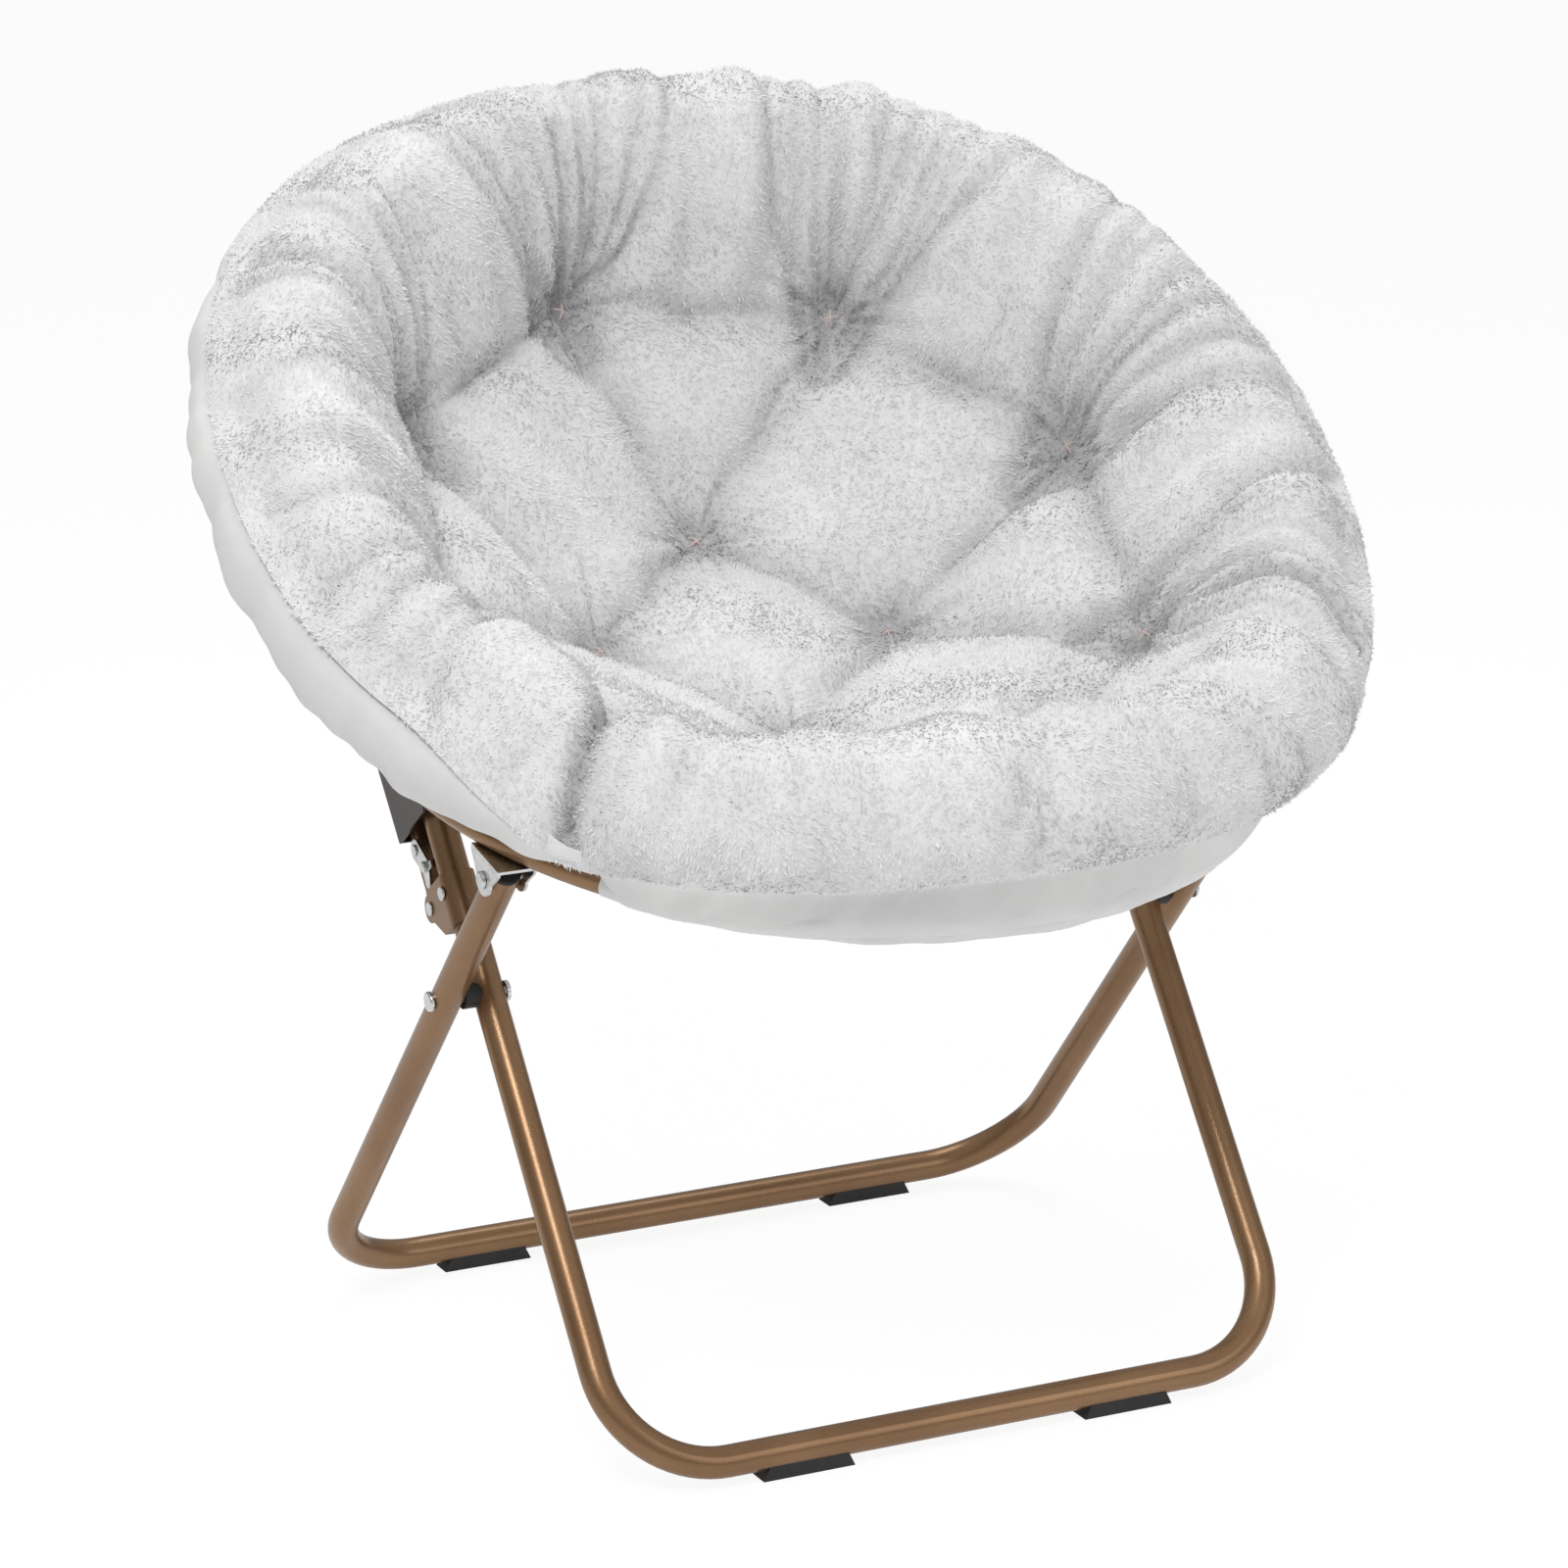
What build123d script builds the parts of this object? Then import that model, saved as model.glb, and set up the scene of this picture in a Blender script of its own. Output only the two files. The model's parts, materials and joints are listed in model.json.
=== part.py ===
from build123d import *
from math import cos, hypot, radians, sin, sqrt
import os

# ---------------------------------------------------------------- driving dimensions (mm)
LEG_D = 22.0                 # outside diameter of both leg tubes
HOOP_D = 19.0                # outside diameter of both seat hoops
WALL = 1.2                   # tube wall
PAD_H = 5.3                  # floor pad height under the tube
PIVOT_Y = -38.3              # scissor pivot, seen from the side
PIVOT_Z = 291.4
FRONT_RUN_Y = -213.7         # floor runs, measured from the scissor pivot
REAR_RUN_Y = 244.3
LEG_INSET = 24.0             # outer legs stand this far inside the front hoop
LEG_GAP = 9.0                # between inner and outer leg tubes
LEG_BEND = 75.0              # bend radius of the floor corners
FRONT_TOP = 137.0            # leg length above the pivot
REAR_TOP = 156.5
SADDLE_S = 150.0             # saddle pivot along the rear leg
HINGE_Y = 15.0               # hinge of the two hoops, from the scissor pivot
HINGE_Z = 455.0
HOOP_OUT_R = 308.0           # front hoop, outboard of the rear hoop
HOOP_GAP = 3.0               # between the hoops at the hinge
FRONT_TILT = 12.3            # front hoop falls to the front
REAR_TILT = 52.0             # rear hoop rises to the back
STUB_L = 95.0                # level stub of the rear hoop behind the hinge
STUB_BEND = 120.0
SIDE_L = 20.0
RIM_OVER = 65.4              # rolled rim of the cushion lies outside the front hoop
RIM_ROLL = 45.0
RIM_Y = 38.0
RIM_Z = 620.5
RIM_TILT = 27.5
SEAT_IN = 59.3283            # hollow meets the rim plane, inside the rim's centre line
SEAT_DEEP = 181.0            # hollow below the rim plane, at the sewn tufts
STUFFING = 60.0              # from the hollow to the underside
PUFF = 24.0                  # the stuffing rises this far between the tufts
COVER_IN = 12.0              # under-cover meets the hoop plane inside the front hoop
COVER_DEEP = 99.7636         # under-cover below the hoop plane
COVER_T = 3.0

RUN_FIT = 0.05               # running fit of pins, on the radius
SEAT_GAP = 0.3               # between curved faces of seated pieces
CLEAR = 1.0                  # between soft pieces and the frame

LEG_R = LEG_D / 2
HOOP_R = HOOP_D / 2
RUN_Z = PAD_H + LEG_R
HOOP_IN_R = HOOP_OUT_R - HOOP_D - HOOP_GAP
LEG_OUT_X = HOOP_OUT_R - LEG_INSET       # half width of the rear leg frame (outer)
LEG_IN_X = LEG_OUT_X - LEG_D - LEG_GAP   # half width of the front leg frame (inner)
RIM_R = HOOP_OUT_R + RIM_OVER


def bowl_radius(edge, deep):
    """Radius of a bowl from the radius of its edge and its depth."""
    return (edge ** 2 + deep ** 2) / (2 * deep)


SEAT_R = bowl_radius(RIM_R - SEAT_IN, SEAT_DEEP)
BOWL_UP = SEAT_R - SEAT_DEEP             # centre of seat and underside above the rim plane
BELLY_R = SEAT_R + STUFFING
COVER_EDGE = HOOP_OUT_R - COVER_IN
COVER_R = bowl_radius(COVER_EDGE, COVER_DEEP)

# ---------------------------------------------------------------- frames of reference
PIVOT = Vector(0, PIVOT_Y, PIVOT_Z)
HINGE = Vector(0, PIVOT_Y + HINGE_Y, HINGE_Z)
FRONT_L = hypot(FRONT_RUN_Y, PIVOT_Z - RUN_Z)
REAR_L = hypot(REAR_RUN_Y, PIVOT_Z - RUN_Z)
UP_IN = Vector(0, -FRONT_RUN_Y, PIVOT_Z - RUN_Z) / FRONT_L
UP_OUT = Vector(0, -REAR_RUN_Y, PIVOT_Z - RUN_Z) / REAR_L
SADDLE = PIVOT + UP_OUT * SADDLE_S


def leg_plane(up):
    """Plane of a leg frame: local y runs up the leg."""
    return Plane(origin=PIVOT, x_dir=(1, 0, 0), z_dir=(0, -up.Z, up.Y))


def side_plane(origin, x, up):
    """Plane across X at x: local x runs up the leg, extrusion goes outward to -X."""
    return Plane(origin=(x, origin.Y, origin.Z), x_dir=(0, up.Y, up.Z), z_dir=(-1, 0, 0))


def cross_plane(point, x=0.0):
    """Plane across X through a point, extrusion goes to -X, local x to the rear."""
    return Plane(origin=(x, point.Y, point.Z), x_dir=(0, 1, 0), z_dir=(-1, 0, 0))


def on_leg(s, n, x=0.0):
    """Point at length s up the front leg and offset n to its rear."""
    return PIVOT + UP_IN * s + Vector(0, UP_IN.Z, -UP_IN.Y) * n + Vector(x, 0, 0)


# ---------------------------------------------------------------- rivets and pins
RIVET_R = 4.0                # scissor rivets
RIVET_HEAD_R = 7.0
RIVET_HEAD = 2.6
SADDLE_PIN_R = 3.0
CLAMP_PIN_R = 2.5
LATCH_PIN_R = 2.0
HINGE_PIN_R = 3.0
EYE_PIN_R = 4.0
CLAMP_S, CLAMP_N = 75.0, 27.0
EYE_S, EYE_N = 176.0, 28.0
LATCH_S, LATCH_N = 119.0, 28.0
STUD_S, STUD_N = 102.5, 18.5
NOTCH_S, NOTCH_N = 100.0, 8.5     # notch in the front leg for the latch nose
NOTCH_L, NOTCH_W = 24.0, 8.0
NOTCH_OFF = 4.0              # notch starts outboard of the middle of the leg
NOTCH_X = LEG_IN_X + NOTCH_OFF


def bore(point, radius, reach):
    """Cross hole along X on both sides of the frame."""
    with BuildSketch(cross_plane(point, reach)) as hole:
        Circle(radius)
    extrude(hole.sketch, amount=2 * reach, mode=Mode.SUBTRACT)


# ---------------------------------------------------------------- leg frames
with BuildPart() as front_leg_frame:
    with BuildLine(leg_plane(UP_IN)) as front_leg_path:
        FilletPolyline((-LEG_IN_X, FRONT_TOP), (-LEG_IN_X, -FRONT_L), (LEG_IN_X, -FRONT_L),
                       (LEG_IN_X, FRONT_TOP), radius=LEG_BEND)
    with BuildSketch(Plane(origin=front_leg_path.line @ 0, z_dir=front_leg_path.line % 0)):
        Circle(LEG_R)
        Circle(LEG_R - WALL, mode=Mode.SUBTRACT)
    sweep(path=front_leg_path.line)
    bore(PIVOT, RIVET_R + RUN_FIT, LEG_OUT_X)
    bore(on_leg(CLAMP_S, 0), CLAMP_PIN_R + RUN_FIT, LEG_OUT_X)
    for x, reach in ((-NOTCH_X, LEG_D), (NOTCH_X, -LEG_D)):
        with BuildSketch(side_plane(PIVOT, x, UP_IN)):
            with Locations((NOTCH_S, NOTCH_N)):
                Rectangle(NOTCH_L, NOTCH_W)
        extrude(amount=reach, mode=Mode.SUBTRACT)

with BuildPart() as rear_leg_frame:
    with BuildLine(leg_plane(UP_OUT)) as rear_leg_path:
        FilletPolyline((-LEG_OUT_X, REAR_TOP), (-LEG_OUT_X, -REAR_L), (LEG_OUT_X, -REAR_L),
                       (LEG_OUT_X, REAR_TOP), radius=LEG_BEND)
    with BuildSketch(Plane(origin=rear_leg_path.line @ 0, z_dir=rear_leg_path.line % 0)):
        Circle(LEG_R)
        Circle(LEG_R - WALL, mode=Mode.SUBTRACT)
    sweep(path=rear_leg_path.line)
    bore(PIVOT, RIVET_R + RUN_FIT, LEG_OUT_X + LEG_D)
    bore(SADDLE, SADDLE_PIN_R + RUN_FIT, LEG_OUT_X + LEG_D)

# ---------------------------------------------------------------- hoops
HOOP_PASS = 14.0             # hoop ends run past the hinge
front_hoop_plane = Plane(origin=HINGE, x_dir=(1, 0, 0),
                         z_dir=(0, -sin(radians(FRONT_TILT)), cos(radians(FRONT_TILT))))

with BuildPart() as front_hoop:
    with BuildLine(front_hoop_plane) as front_hoop_path:
        Line((-HOOP_OUT_R, HOOP_PASS), (-HOOP_OUT_R, 0))
        ThreePointArc((-HOOP_OUT_R, 0), (0, -HOOP_OUT_R), (HOOP_OUT_R, 0))
        Line((HOOP_OUT_R, 0), (HOOP_OUT_R, HOOP_PASS))
    with BuildSketch(Plane(origin=front_hoop_path.line @ 0, z_dir=front_hoop_path.line % 0)):
        Circle(HOOP_R)
        Circle(HOOP_R - WALL, mode=Mode.SUBTRACT)
    sweep(path=front_hoop_path.line)
    bore(HINGE, HINGE_PIN_R + RUN_FIT, HOOP_OUT_R + HOOP_D)

RISE = radians(REAR_TILT)
STUB_END = HINGE + Vector(0, STUB_L, 0)
BEND_END = STUB_END + Vector(0, STUB_BEND * sin(RISE), STUB_BEND * (1 - cos(RISE)))
BEND_MID = STUB_END + Vector(0, STUB_BEND * sin(RISE / 2), STUB_BEND * (1 - cos(RISE / 2)))
REAR_UP = Vector(0, cos(RISE), sin(RISE))
ARC_FOOT = BEND_END + REAR_UP * SIDE_L
ARC_TOP = ARC_FOOT + REAR_UP * HOOP_IN_R


def at_x(point, x):
    """The same point moved across the chair."""
    return Vector(x, point.Y, point.Z)


def rear_path(radius, start):
    """Centre line of the rear hoop from one stub round to the other."""
    Line(at_x(start, -radius), at_x(STUB_END, -radius))
    ThreePointArc(at_x(STUB_END, -radius), at_x(BEND_MID, -radius), at_x(BEND_END, -radius))
    Line(at_x(BEND_END, -radius), at_x(ARC_FOOT, -radius))
    ThreePointArc(at_x(ARC_FOOT, -radius), ARC_TOP, at_x(ARC_FOOT, radius))
    Line(at_x(ARC_FOOT, radius), at_x(BEND_END, radius))
    ThreePointArc(at_x(BEND_END, radius), at_x(BEND_MID, radius), at_x(STUB_END, radius))
    Line(at_x(STUB_END, radius), at_x(start, radius))


with BuildPart() as rear_hoop:
    with BuildLine() as rear_hoop_path:
        rear_path(HOOP_IN_R, HINGE - Vector(0, HOOP_PASS, 0))
    with BuildSketch(Plane(origin=rear_hoop_path.line @ 0, z_dir=rear_hoop_path.line % 0)):
        Circle(HOOP_R)
        Circle(HOOP_R - WALL, mode=Mode.SUBTRACT)
    sweep(path=rear_hoop_path.line)
    bore(HINGE, HINGE_PIN_R + RUN_FIT, HOOP_OUT_R + HOOP_D)

# ---------------------------------------------------------------- hoop hinge
HINGE_IN = HOOP_IN_R - HOOP_R
HINGE_OUT = HOOP_OUT_R + HOOP_R
HINGE_HEAD_R = 6.0
WASHER_R = 8.0
WASHER_T = HOOP_GAP - 2 * SEAT_GAP
HEAD_DOME = 0.6              # rounding of a rivet head, of its height


def cross_pin(point, radius, x_in, x_out, head_r, head_t):
    """Rivet along X on the left side, a flat head inside and a domed head outside."""
    for x, r, length in ((-x_in, radius, x_out - x_in), (-x_in + head_t, head_r, head_t),
                         (-x_out, head_r, head_t)):
        with BuildSketch(cross_plane(point, x)) as disc:
            Circle(r)
        extrude(disc.sketch, amount=length)
    fillet(edges().filter_by(GeomType.CIRCLE).group_by(Axis.X)[0], head_t * HEAD_DOME)


with BuildPart() as hoop_hinge_pins:
    cross_pin(HINGE, HINGE_PIN_R, HINGE_IN - SEAT_GAP, HINGE_OUT + SEAT_GAP,
              HINGE_HEAD_R, RIVET_HEAD)
    mirror(about=Plane.YZ)

with BuildPart() as hinge_washers:
    with BuildSketch(cross_plane(HINGE, -(HOOP_IN_R + HOOP_R + SEAT_GAP))):
        Circle(WASHER_R)
        Circle(HINGE_PIN_R + RUN_FIT, mode=Mode.SUBTRACT)
    extrude(amount=WASHER_T)
    mirror(about=Plane.YZ)

# ---------------------------------------------------------------- scissor pivot
SPACER_R = 8.5
SPACER_WRAP = 4.0            # the spacer hugs the inner tube

with BuildPart() as scissor_rivets:
    cross_pin(PIVOT, RIVET_R, LEG_IN_X - LEG_R - SEAT_GAP, LEG_OUT_X + LEG_R + SEAT_GAP,
              RIVET_HEAD_R, RIVET_HEAD)
    mirror(about=Plane.YZ)

with BuildPart() as scissor_spacers:
    with BuildSketch(cross_plane(PIVOT, -(LEG_IN_X + LEG_R - SPACER_WRAP))):
        Circle(SPACER_R)
        Circle(RIVET_R + RUN_FIT, mode=Mode.SUBTRACT)
    extrude(amount=SPACER_WRAP + LEG_GAP - SEAT_GAP)
    with BuildSketch(Plane(origin=at_x(PIVOT, -LEG_IN_X), z_dir=UP_IN)):
        Circle(LEG_R + SEAT_GAP)
    extrude(amount=LEG_D, both=True, mode=Mode.SUBTRACT)
    mirror(about=Plane.YZ)

# ---------------------------------------------------------------- tube plugs and floor pads
PLUG_CAP = 2.0
PLUG_DOME = 0.75             # rounding of the cap, of its height
PLUG_IN = 12.0


def plugs(half_width, top, up):
    """Domed plastic plugs in the upper ends of a leg frame."""
    end = at_x(PIVOT + up * (top + SEAT_GAP), -half_width)
    with BuildSketch(Plane(origin=end, z_dir=up)) as cap:
        Circle(LEG_R)
    extrude(cap.sketch, amount=PLUG_CAP)
    fillet(edges().filter_by(GeomType.CIRCLE).sort_by(Axis(end, up))[-1], PLUG_CAP * PLUG_DOME)
    with BuildSketch(Plane(origin=end, z_dir=-up)) as stem:
        Circle(LEG_R - WALL - SEAT_GAP)
    extrude(stem.sketch, amount=PLUG_IN)
    mirror(about=Plane.YZ)


with BuildPart() as front_leg_plugs:
    plugs(LEG_IN_X, FRONT_TOP, UP_IN)
with BuildPart() as rear_leg_plugs:
    plugs(LEG_OUT_X, REAR_TOP, UP_OUT)
    bore(SADDLE, SADDLE_PIN_R + SEAT_GAP, LEG_OUT_X + LEG_D)

PAD_L = 68.0                 # at the floor
PAD_ANGLE = 64.0
PAD_W = 18.0
PAD_GRIP = 7.0               # sides of the pad above the underside of the tube
FRONT_PAD_IN = 56.0          # middle of a pad from the end of the straight run
REAR_PAD_IN = 52.0


def pads(run_y, pad_x):
    """Pair of saddle-shaped pads clipped under a floor run."""
    with BuildSketch(Plane(origin=(0, PIVOT_Y + run_y, 0), x_dir=(1, 0, 0), z_dir=(0, -1, 0))) as side:
        with Locations((-pad_x, 0), (pad_x, 0)):
            Trapezoid(PAD_L, PAD_H + PAD_GRIP, PAD_ANGLE, align=(Align.CENTER, Align.MIN))
    extrude(side.sketch, amount=PAD_W / 2, both=True)
    with BuildSketch(Plane(origin=(0, PIVOT_Y + run_y, RUN_Z), z_dir=(1, 0, 0))) as tube:
        Circle(LEG_R + RUN_FIT)
    extrude(tube.sketch, amount=LEG_OUT_X, both=True, mode=Mode.SUBTRACT)


with BuildPart() as front_floor_pads:
    pads(FRONT_RUN_Y, LEG_IN_X - LEG_BEND - FRONT_PAD_IN)
with BuildPart() as rear_floor_pads:
    pads(REAR_RUN_Y, LEG_OUT_X - LEG_BEND - REAR_PAD_IN)

# ---------------------------------------------------------------- saddle brackets
SADDLE_T = 2.0
SADDLE_L = 44.0              # along the hoop
SADDLE_WING = 0.8            # side play over the leg tube
SADDLE_DROP = 11.0           # wing tips below the pivot
saddle_off = (HINGE - SADDLE).dot(front_hoop_plane.z_dir)
SADDLE_TOP = saddle_off - HOOP_R
WING_X = LEG_R + SADDLE_WING

with BuildPart() as saddle_bracket_left:
    saddle_side = Plane(origin=at_x(SADDLE, -LEG_OUT_X), x_dir=front_hoop_plane.y_dir, z_dir=(1, 0, 0))
    with BuildSketch(saddle_side):
        with BuildLine():
            Polyline((-SADDLE_L / 2, SADDLE_TOP), (SADDLE_L / 2, SADDLE_TOP),
                     (SADDLE_L / 2, SADDLE_TOP - 2 * SADDLE_T), (SADDLE_DROP, 0))
            ThreePointArc((SADDLE_DROP, 0), (0, -SADDLE_DROP), (-SADDLE_DROP, 0))
            Polyline((-SADDLE_DROP, 0), (-SADDLE_L / 2, SADDLE_TOP - 2 * SADDLE_T),
                     (-SADDLE_L / 2, SADDLE_TOP))
        make_face()
    extrude(amount=WING_X + SADDLE_T, both=True)
    with BuildSketch(saddle_side):
        with Locations((0, SADDLE_TOP - SADDLE_T - SADDLE_L)):
            Rectangle(2 * SADDLE_L, 2 * SADDLE_L)
    extrude(amount=WING_X, both=True, mode=Mode.SUBTRACT)
    bore(SADDLE, SADDLE_PIN_R + RUN_FIT, LEG_OUT_X + LEG_D)
with BuildPart() as saddle_bracket_right:
    mirror(saddle_bracket_left.part, about=Plane.YZ)

with BuildPart() as saddle_rivets:
    cross_pin(SADDLE, SADDLE_PIN_R, LEG_OUT_X - WING_X - SADDLE_T - SEAT_GAP,
              LEG_OUT_X + WING_X + SADDLE_T + SEAT_GAP, HINGE_HEAD_R, RIVET_HEAD)
    mirror(about=Plane.YZ)

# ---------------------------------------------------------------- clamp plates on the front leg
CLAMP_T = 2.0
CLAMP_TOP_S, CLAMP_LOW_S = 87.0, 50.0
CLAMP_BACK_N = 36.0
CLAMP_EAR = 10.0
CLAMP_HEAD_R = 5.0
SEAT_CLOSE = 0.1             # thin gap under a clamped plate
CLAMP_IN = LEG_R + SEAT_CLOSE

with BuildPart() as clamp_plate_left:
    with BuildSketch(side_plane(PIVOT, -LEG_IN_X, UP_IN)):
        with BuildLine():
            Polyline((CLAMP_TOP_S, 0), (CLAMP_TOP_S, CLAMP_N), (CLAMP_S + CLAMP_EAR, CLAMP_N))
            ThreePointArc((CLAMP_S + CLAMP_EAR, CLAMP_N), (CLAMP_S, CLAMP_N + CLAMP_EAR),
                          (CLAMP_S - CLAMP_EAR, CLAMP_N))
            Polyline((CLAMP_S - CLAMP_EAR, CLAMP_N), (CLAMP_LOW_S, CLAMP_N / 2), (CLAMP_LOW_S, 0),
                     (CLAMP_TOP_S, 0))
        make_face()
    extrude(amount=CLAMP_IN + CLAMP_T, both=True)
    with BuildSketch(side_plane(PIVOT, -LEG_IN_X, UP_IN)):
        with Locations((CLAMP_S, CLAMP_BACK_N)):
            Rectangle(4 * CLAMP_EAR, 2 * CLAMP_BACK_N)
    extrude(amount=CLAMP_IN, both=True, mode=Mode.SUBTRACT)
    with BuildSketch(Plane(origin=on_leg(CLAMP_LOW_S, 0, -LEG_IN_X), z_dir=UP_IN)):
        Circle(CLAMP_IN + CLAMP_T)
    extrude(amount=CLAMP_TOP_S - CLAMP_LOW_S)
    with BuildSketch(side_plane(PIVOT, -LEG_IN_X, UP_IN)):
        with Locations((CLAMP_S, CLAMP_N)):
            Rectangle(4 * CLAMP_EAR, 2 * CLAMP_N)
    extrude(amount=CLAMP_IN, both=True, mode=Mode.SUBTRACT)
    with BuildSketch(Plane(origin=on_leg(CLAMP_LOW_S, 0, -LEG_IN_X), z_dir=UP_IN)):
        Circle(CLAMP_IN)
    extrude(amount=CLAMP_TOP_S, both=True, mode=Mode.SUBTRACT)
    bore(on_leg(CLAMP_S, CLAMP_N), CLAMP_PIN_R + RUN_FIT, LEG_OUT_X)
    bore(on_leg(CLAMP_S, 0), CLAMP_PIN_R + RUN_FIT, LEG_OUT_X)
with BuildPart() as clamp_plate_right:
    mirror(clamp_plate_left.part, about=Plane.YZ)


def both_faces(point, radius, half, head_r, head_t):
    """Rivet along X centred on the left front leg, reaching half to each side."""
    cross_pin(point, radius, LEG_IN_X - half, LEG_IN_X + half, head_r, head_t)
    mirror(about=Plane.YZ)


with BuildPart() as clamp_rivets:
    both_faces(on_leg(CLAMP_S, CLAMP_N), CLAMP_PIN_R, CLAMP_IN + CLAMP_T + SEAT_GAP,
               CLAMP_HEAD_R, RIVET_HEAD / 2)
with BuildPart() as clamp_leg_rivets:
    both_faces(on_leg(CLAMP_S, 0), CLAMP_PIN_R, CLAMP_IN + CLAMP_T + SEAT_GAP,
               CLAMP_HEAD_R, RIVET_HEAD / 2)

# ---------------------------------------------------------------- lock links
LINK_W = 20.4                # across the channel
LINK_T = 1.6
LINK_D = 6.0                 # half depth of the channel
LATCH_T = 1.5
with BuildPart() as lock_link_left:
    with BuildSketch(side_plane(PIVOT, -LEG_IN_X, UP_IN)):
        with BuildLine():
            Polyline((CLAMP_S, CLAMP_N - LINK_D), (EYE_S, EYE_N - LINK_D))
            ThreePointArc((EYE_S, EYE_N - LINK_D), (EYE_S + LINK_D, EYE_N), (EYE_S, EYE_N + LINK_D))
            Polyline((EYE_S, EYE_N + LINK_D), (CLAMP_S, CLAMP_N + LINK_D))
            ThreePointArc((CLAMP_S, CLAMP_N + LINK_D), (CLAMP_S - LINK_D, CLAMP_N),
                          (CLAMP_S, CLAMP_N - LINK_D))
        make_face()
    extrude(amount=LINK_W / 2, both=True)
    with BuildSketch(side_plane(PIVOT, -LEG_IN_X, UP_IN)):
        with Locations(((CLAMP_S + EYE_S) / 2, EYE_N - LINK_T)):
            Rectangle(2 * EYE_S, 2 * LINK_D)
    extrude(amount=LINK_W / 2 - LINK_T, both=True, mode=Mode.SUBTRACT)
    bore(on_leg(CLAMP_S, CLAMP_N), CLAMP_PIN_R + RUN_FIT, LEG_OUT_X)
    bore(on_leg(EYE_S, EYE_N), EYE_PIN_R, LEG_OUT_X)
    bore(on_leg(LATCH_S, LATCH_N), LATCH_PIN_R + RUN_FIT, LEG_OUT_X)
with BuildPart() as lock_link_right:
    mirror(lock_link_left.part, about=Plane.YZ)

# ---------------------------------------------------------------- rear brackets on the rear hoop
BRACKET_T = 2.0
BRACKET_IN = 11.6            # inner faces of the wings, from the leg plane
BRACKET_OUT = 14.4
BRACKET_BACK_N = 41.0
BRACKET_FRONT_N = -14.0
BRACKET_LOW_S, BRACKET_TOP_S = 130.0, 186.0
PLATE_Y0, PLATE_Y1 = 70.0, 135.0
PLATE_Z = HINGE_Z - HOOP_R - SEAT_CLOSE
PLATE_OUT_X = HOOP_IN_R + HOOP_R
SLOT_Y = 108.0               # the link swings up through the slot in the plate
WING_MID = (BRACKET_OUT - BRACKET_IN) / 2
CHANNEL_X = LEG_IN_X + WING_MID
CHANNEL_HALF = (BRACKET_OUT + BRACKET_IN) / 2
with BuildPart() as rear_bracket_left:
    low_front, low_back = on_leg(BRACKET_LOW_S, BRACKET_FRONT_N), on_leg(BRACKET_LOW_S, BRACKET_BACK_N)
    back_top = on_leg(BRACKET_TOP_S, BRACKET_BACK_N)
    with BuildSketch(Plane(origin=(-CHANNEL_X, PIVOT_Y, 0), x_dir=(0, 1, 0), z_dir=(1, 0, 0))):
        with BuildLine():
            Polyline((low_front.Y - PIVOT_Y, low_front.Z), (PLATE_Y0, PLATE_Z), (PLATE_Y1, PLATE_Z),
                     (back_top.Y - PIVOT_Y + BRACKET_T, back_top.Z),
                     (low_back.Y - PIVOT_Y, low_back.Z), (low_front.Y - PIVOT_Y, low_front.Z))
        make_face()
    extrude(amount=CHANNEL_HALF + BRACKET_T, both=True)
    inner_low = on_leg(0, BRACKET_BACK_N - BRACKET_T)
    inner_top = on_leg(BRACKET_TOP_S, BRACKET_BACK_N - BRACKET_T)
    with BuildSketch(Plane(origin=(-CHANNEL_X, PIVOT_Y, 0), x_dir=(0, 1, 0), z_dir=(1, 0, 0))):
        with BuildLine():
            Polyline((inner_low.Y - PIVOT_Y, inner_low.Z), (0, PLATE_Z - BRACKET_T),
                     (PLATE_Y1 - BRACKET_T, PLATE_Z - BRACKET_T),
                     (inner_top.Y - PIVOT_Y, inner_top.Z), (inner_low.Y - PIVOT_Y, inner_low.Z))
        make_face()
    extrude(amount=CHANNEL_HALF, both=True, mode=Mode.SUBTRACT)
    with BuildSketch(Plane(origin=(0, PIVOT_Y, PLATE_Z), x_dir=(1, 0, 0), z_dir=(0, 0, -1))):
        with BuildLine():
            Polyline((-PLATE_OUT_X, -PLATE_Y0), (-PLATE_OUT_X, -PLATE_Y1),
                     (-LEG_IN_X + BRACKET_IN + BRACKET_T, -PLATE_Y1),
                     (-LEG_IN_X + BRACKET_IN + BRACKET_T, -PLATE_Y0), (-PLATE_OUT_X, -PLATE_Y0))
        make_face()
    extrude(amount=BRACKET_T)
    with BuildSketch(Plane(origin=(-CHANNEL_X, PIVOT_Y, PLATE_Z))):
        with Locations((0, SLOT_Y)):
            Rectangle(2 * CHANNEL_HALF, 2 * PLATE_Y0, align=(Align.CENTER, Align.MAX))
    extrude(amount=BRACKET_T, both=True, mode=Mode.SUBTRACT)
    bore(on_leg(EYE_S, EYE_N), EYE_PIN_R + RUN_FIT, LEG_OUT_X)
with BuildPart() as rear_bracket_right:
    mirror(rear_bracket_left.part, about=Plane.YZ)

# rivet stubs inside the wings, at the rest place of the link eye
PIN_IN = 0.8
with BuildPart() as bracket_pins:
    for near, far in ((LEG_IN_X - BRACKET_IN - BRACKET_T, LEG_IN_X - BRACKET_IN + PIN_IN),
                      (LEG_IN_X + BRACKET_IN - PIN_IN, LEG_IN_X + BRACKET_OUT + BRACKET_T)):
        with BuildSketch(cross_plane(on_leg(EYE_S, EYE_N), -near)) as stub:
            Circle(EYE_PIN_R)
        extrude(stub.sketch, amount=far - near)
    mirror(about=Plane.YZ)

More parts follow.
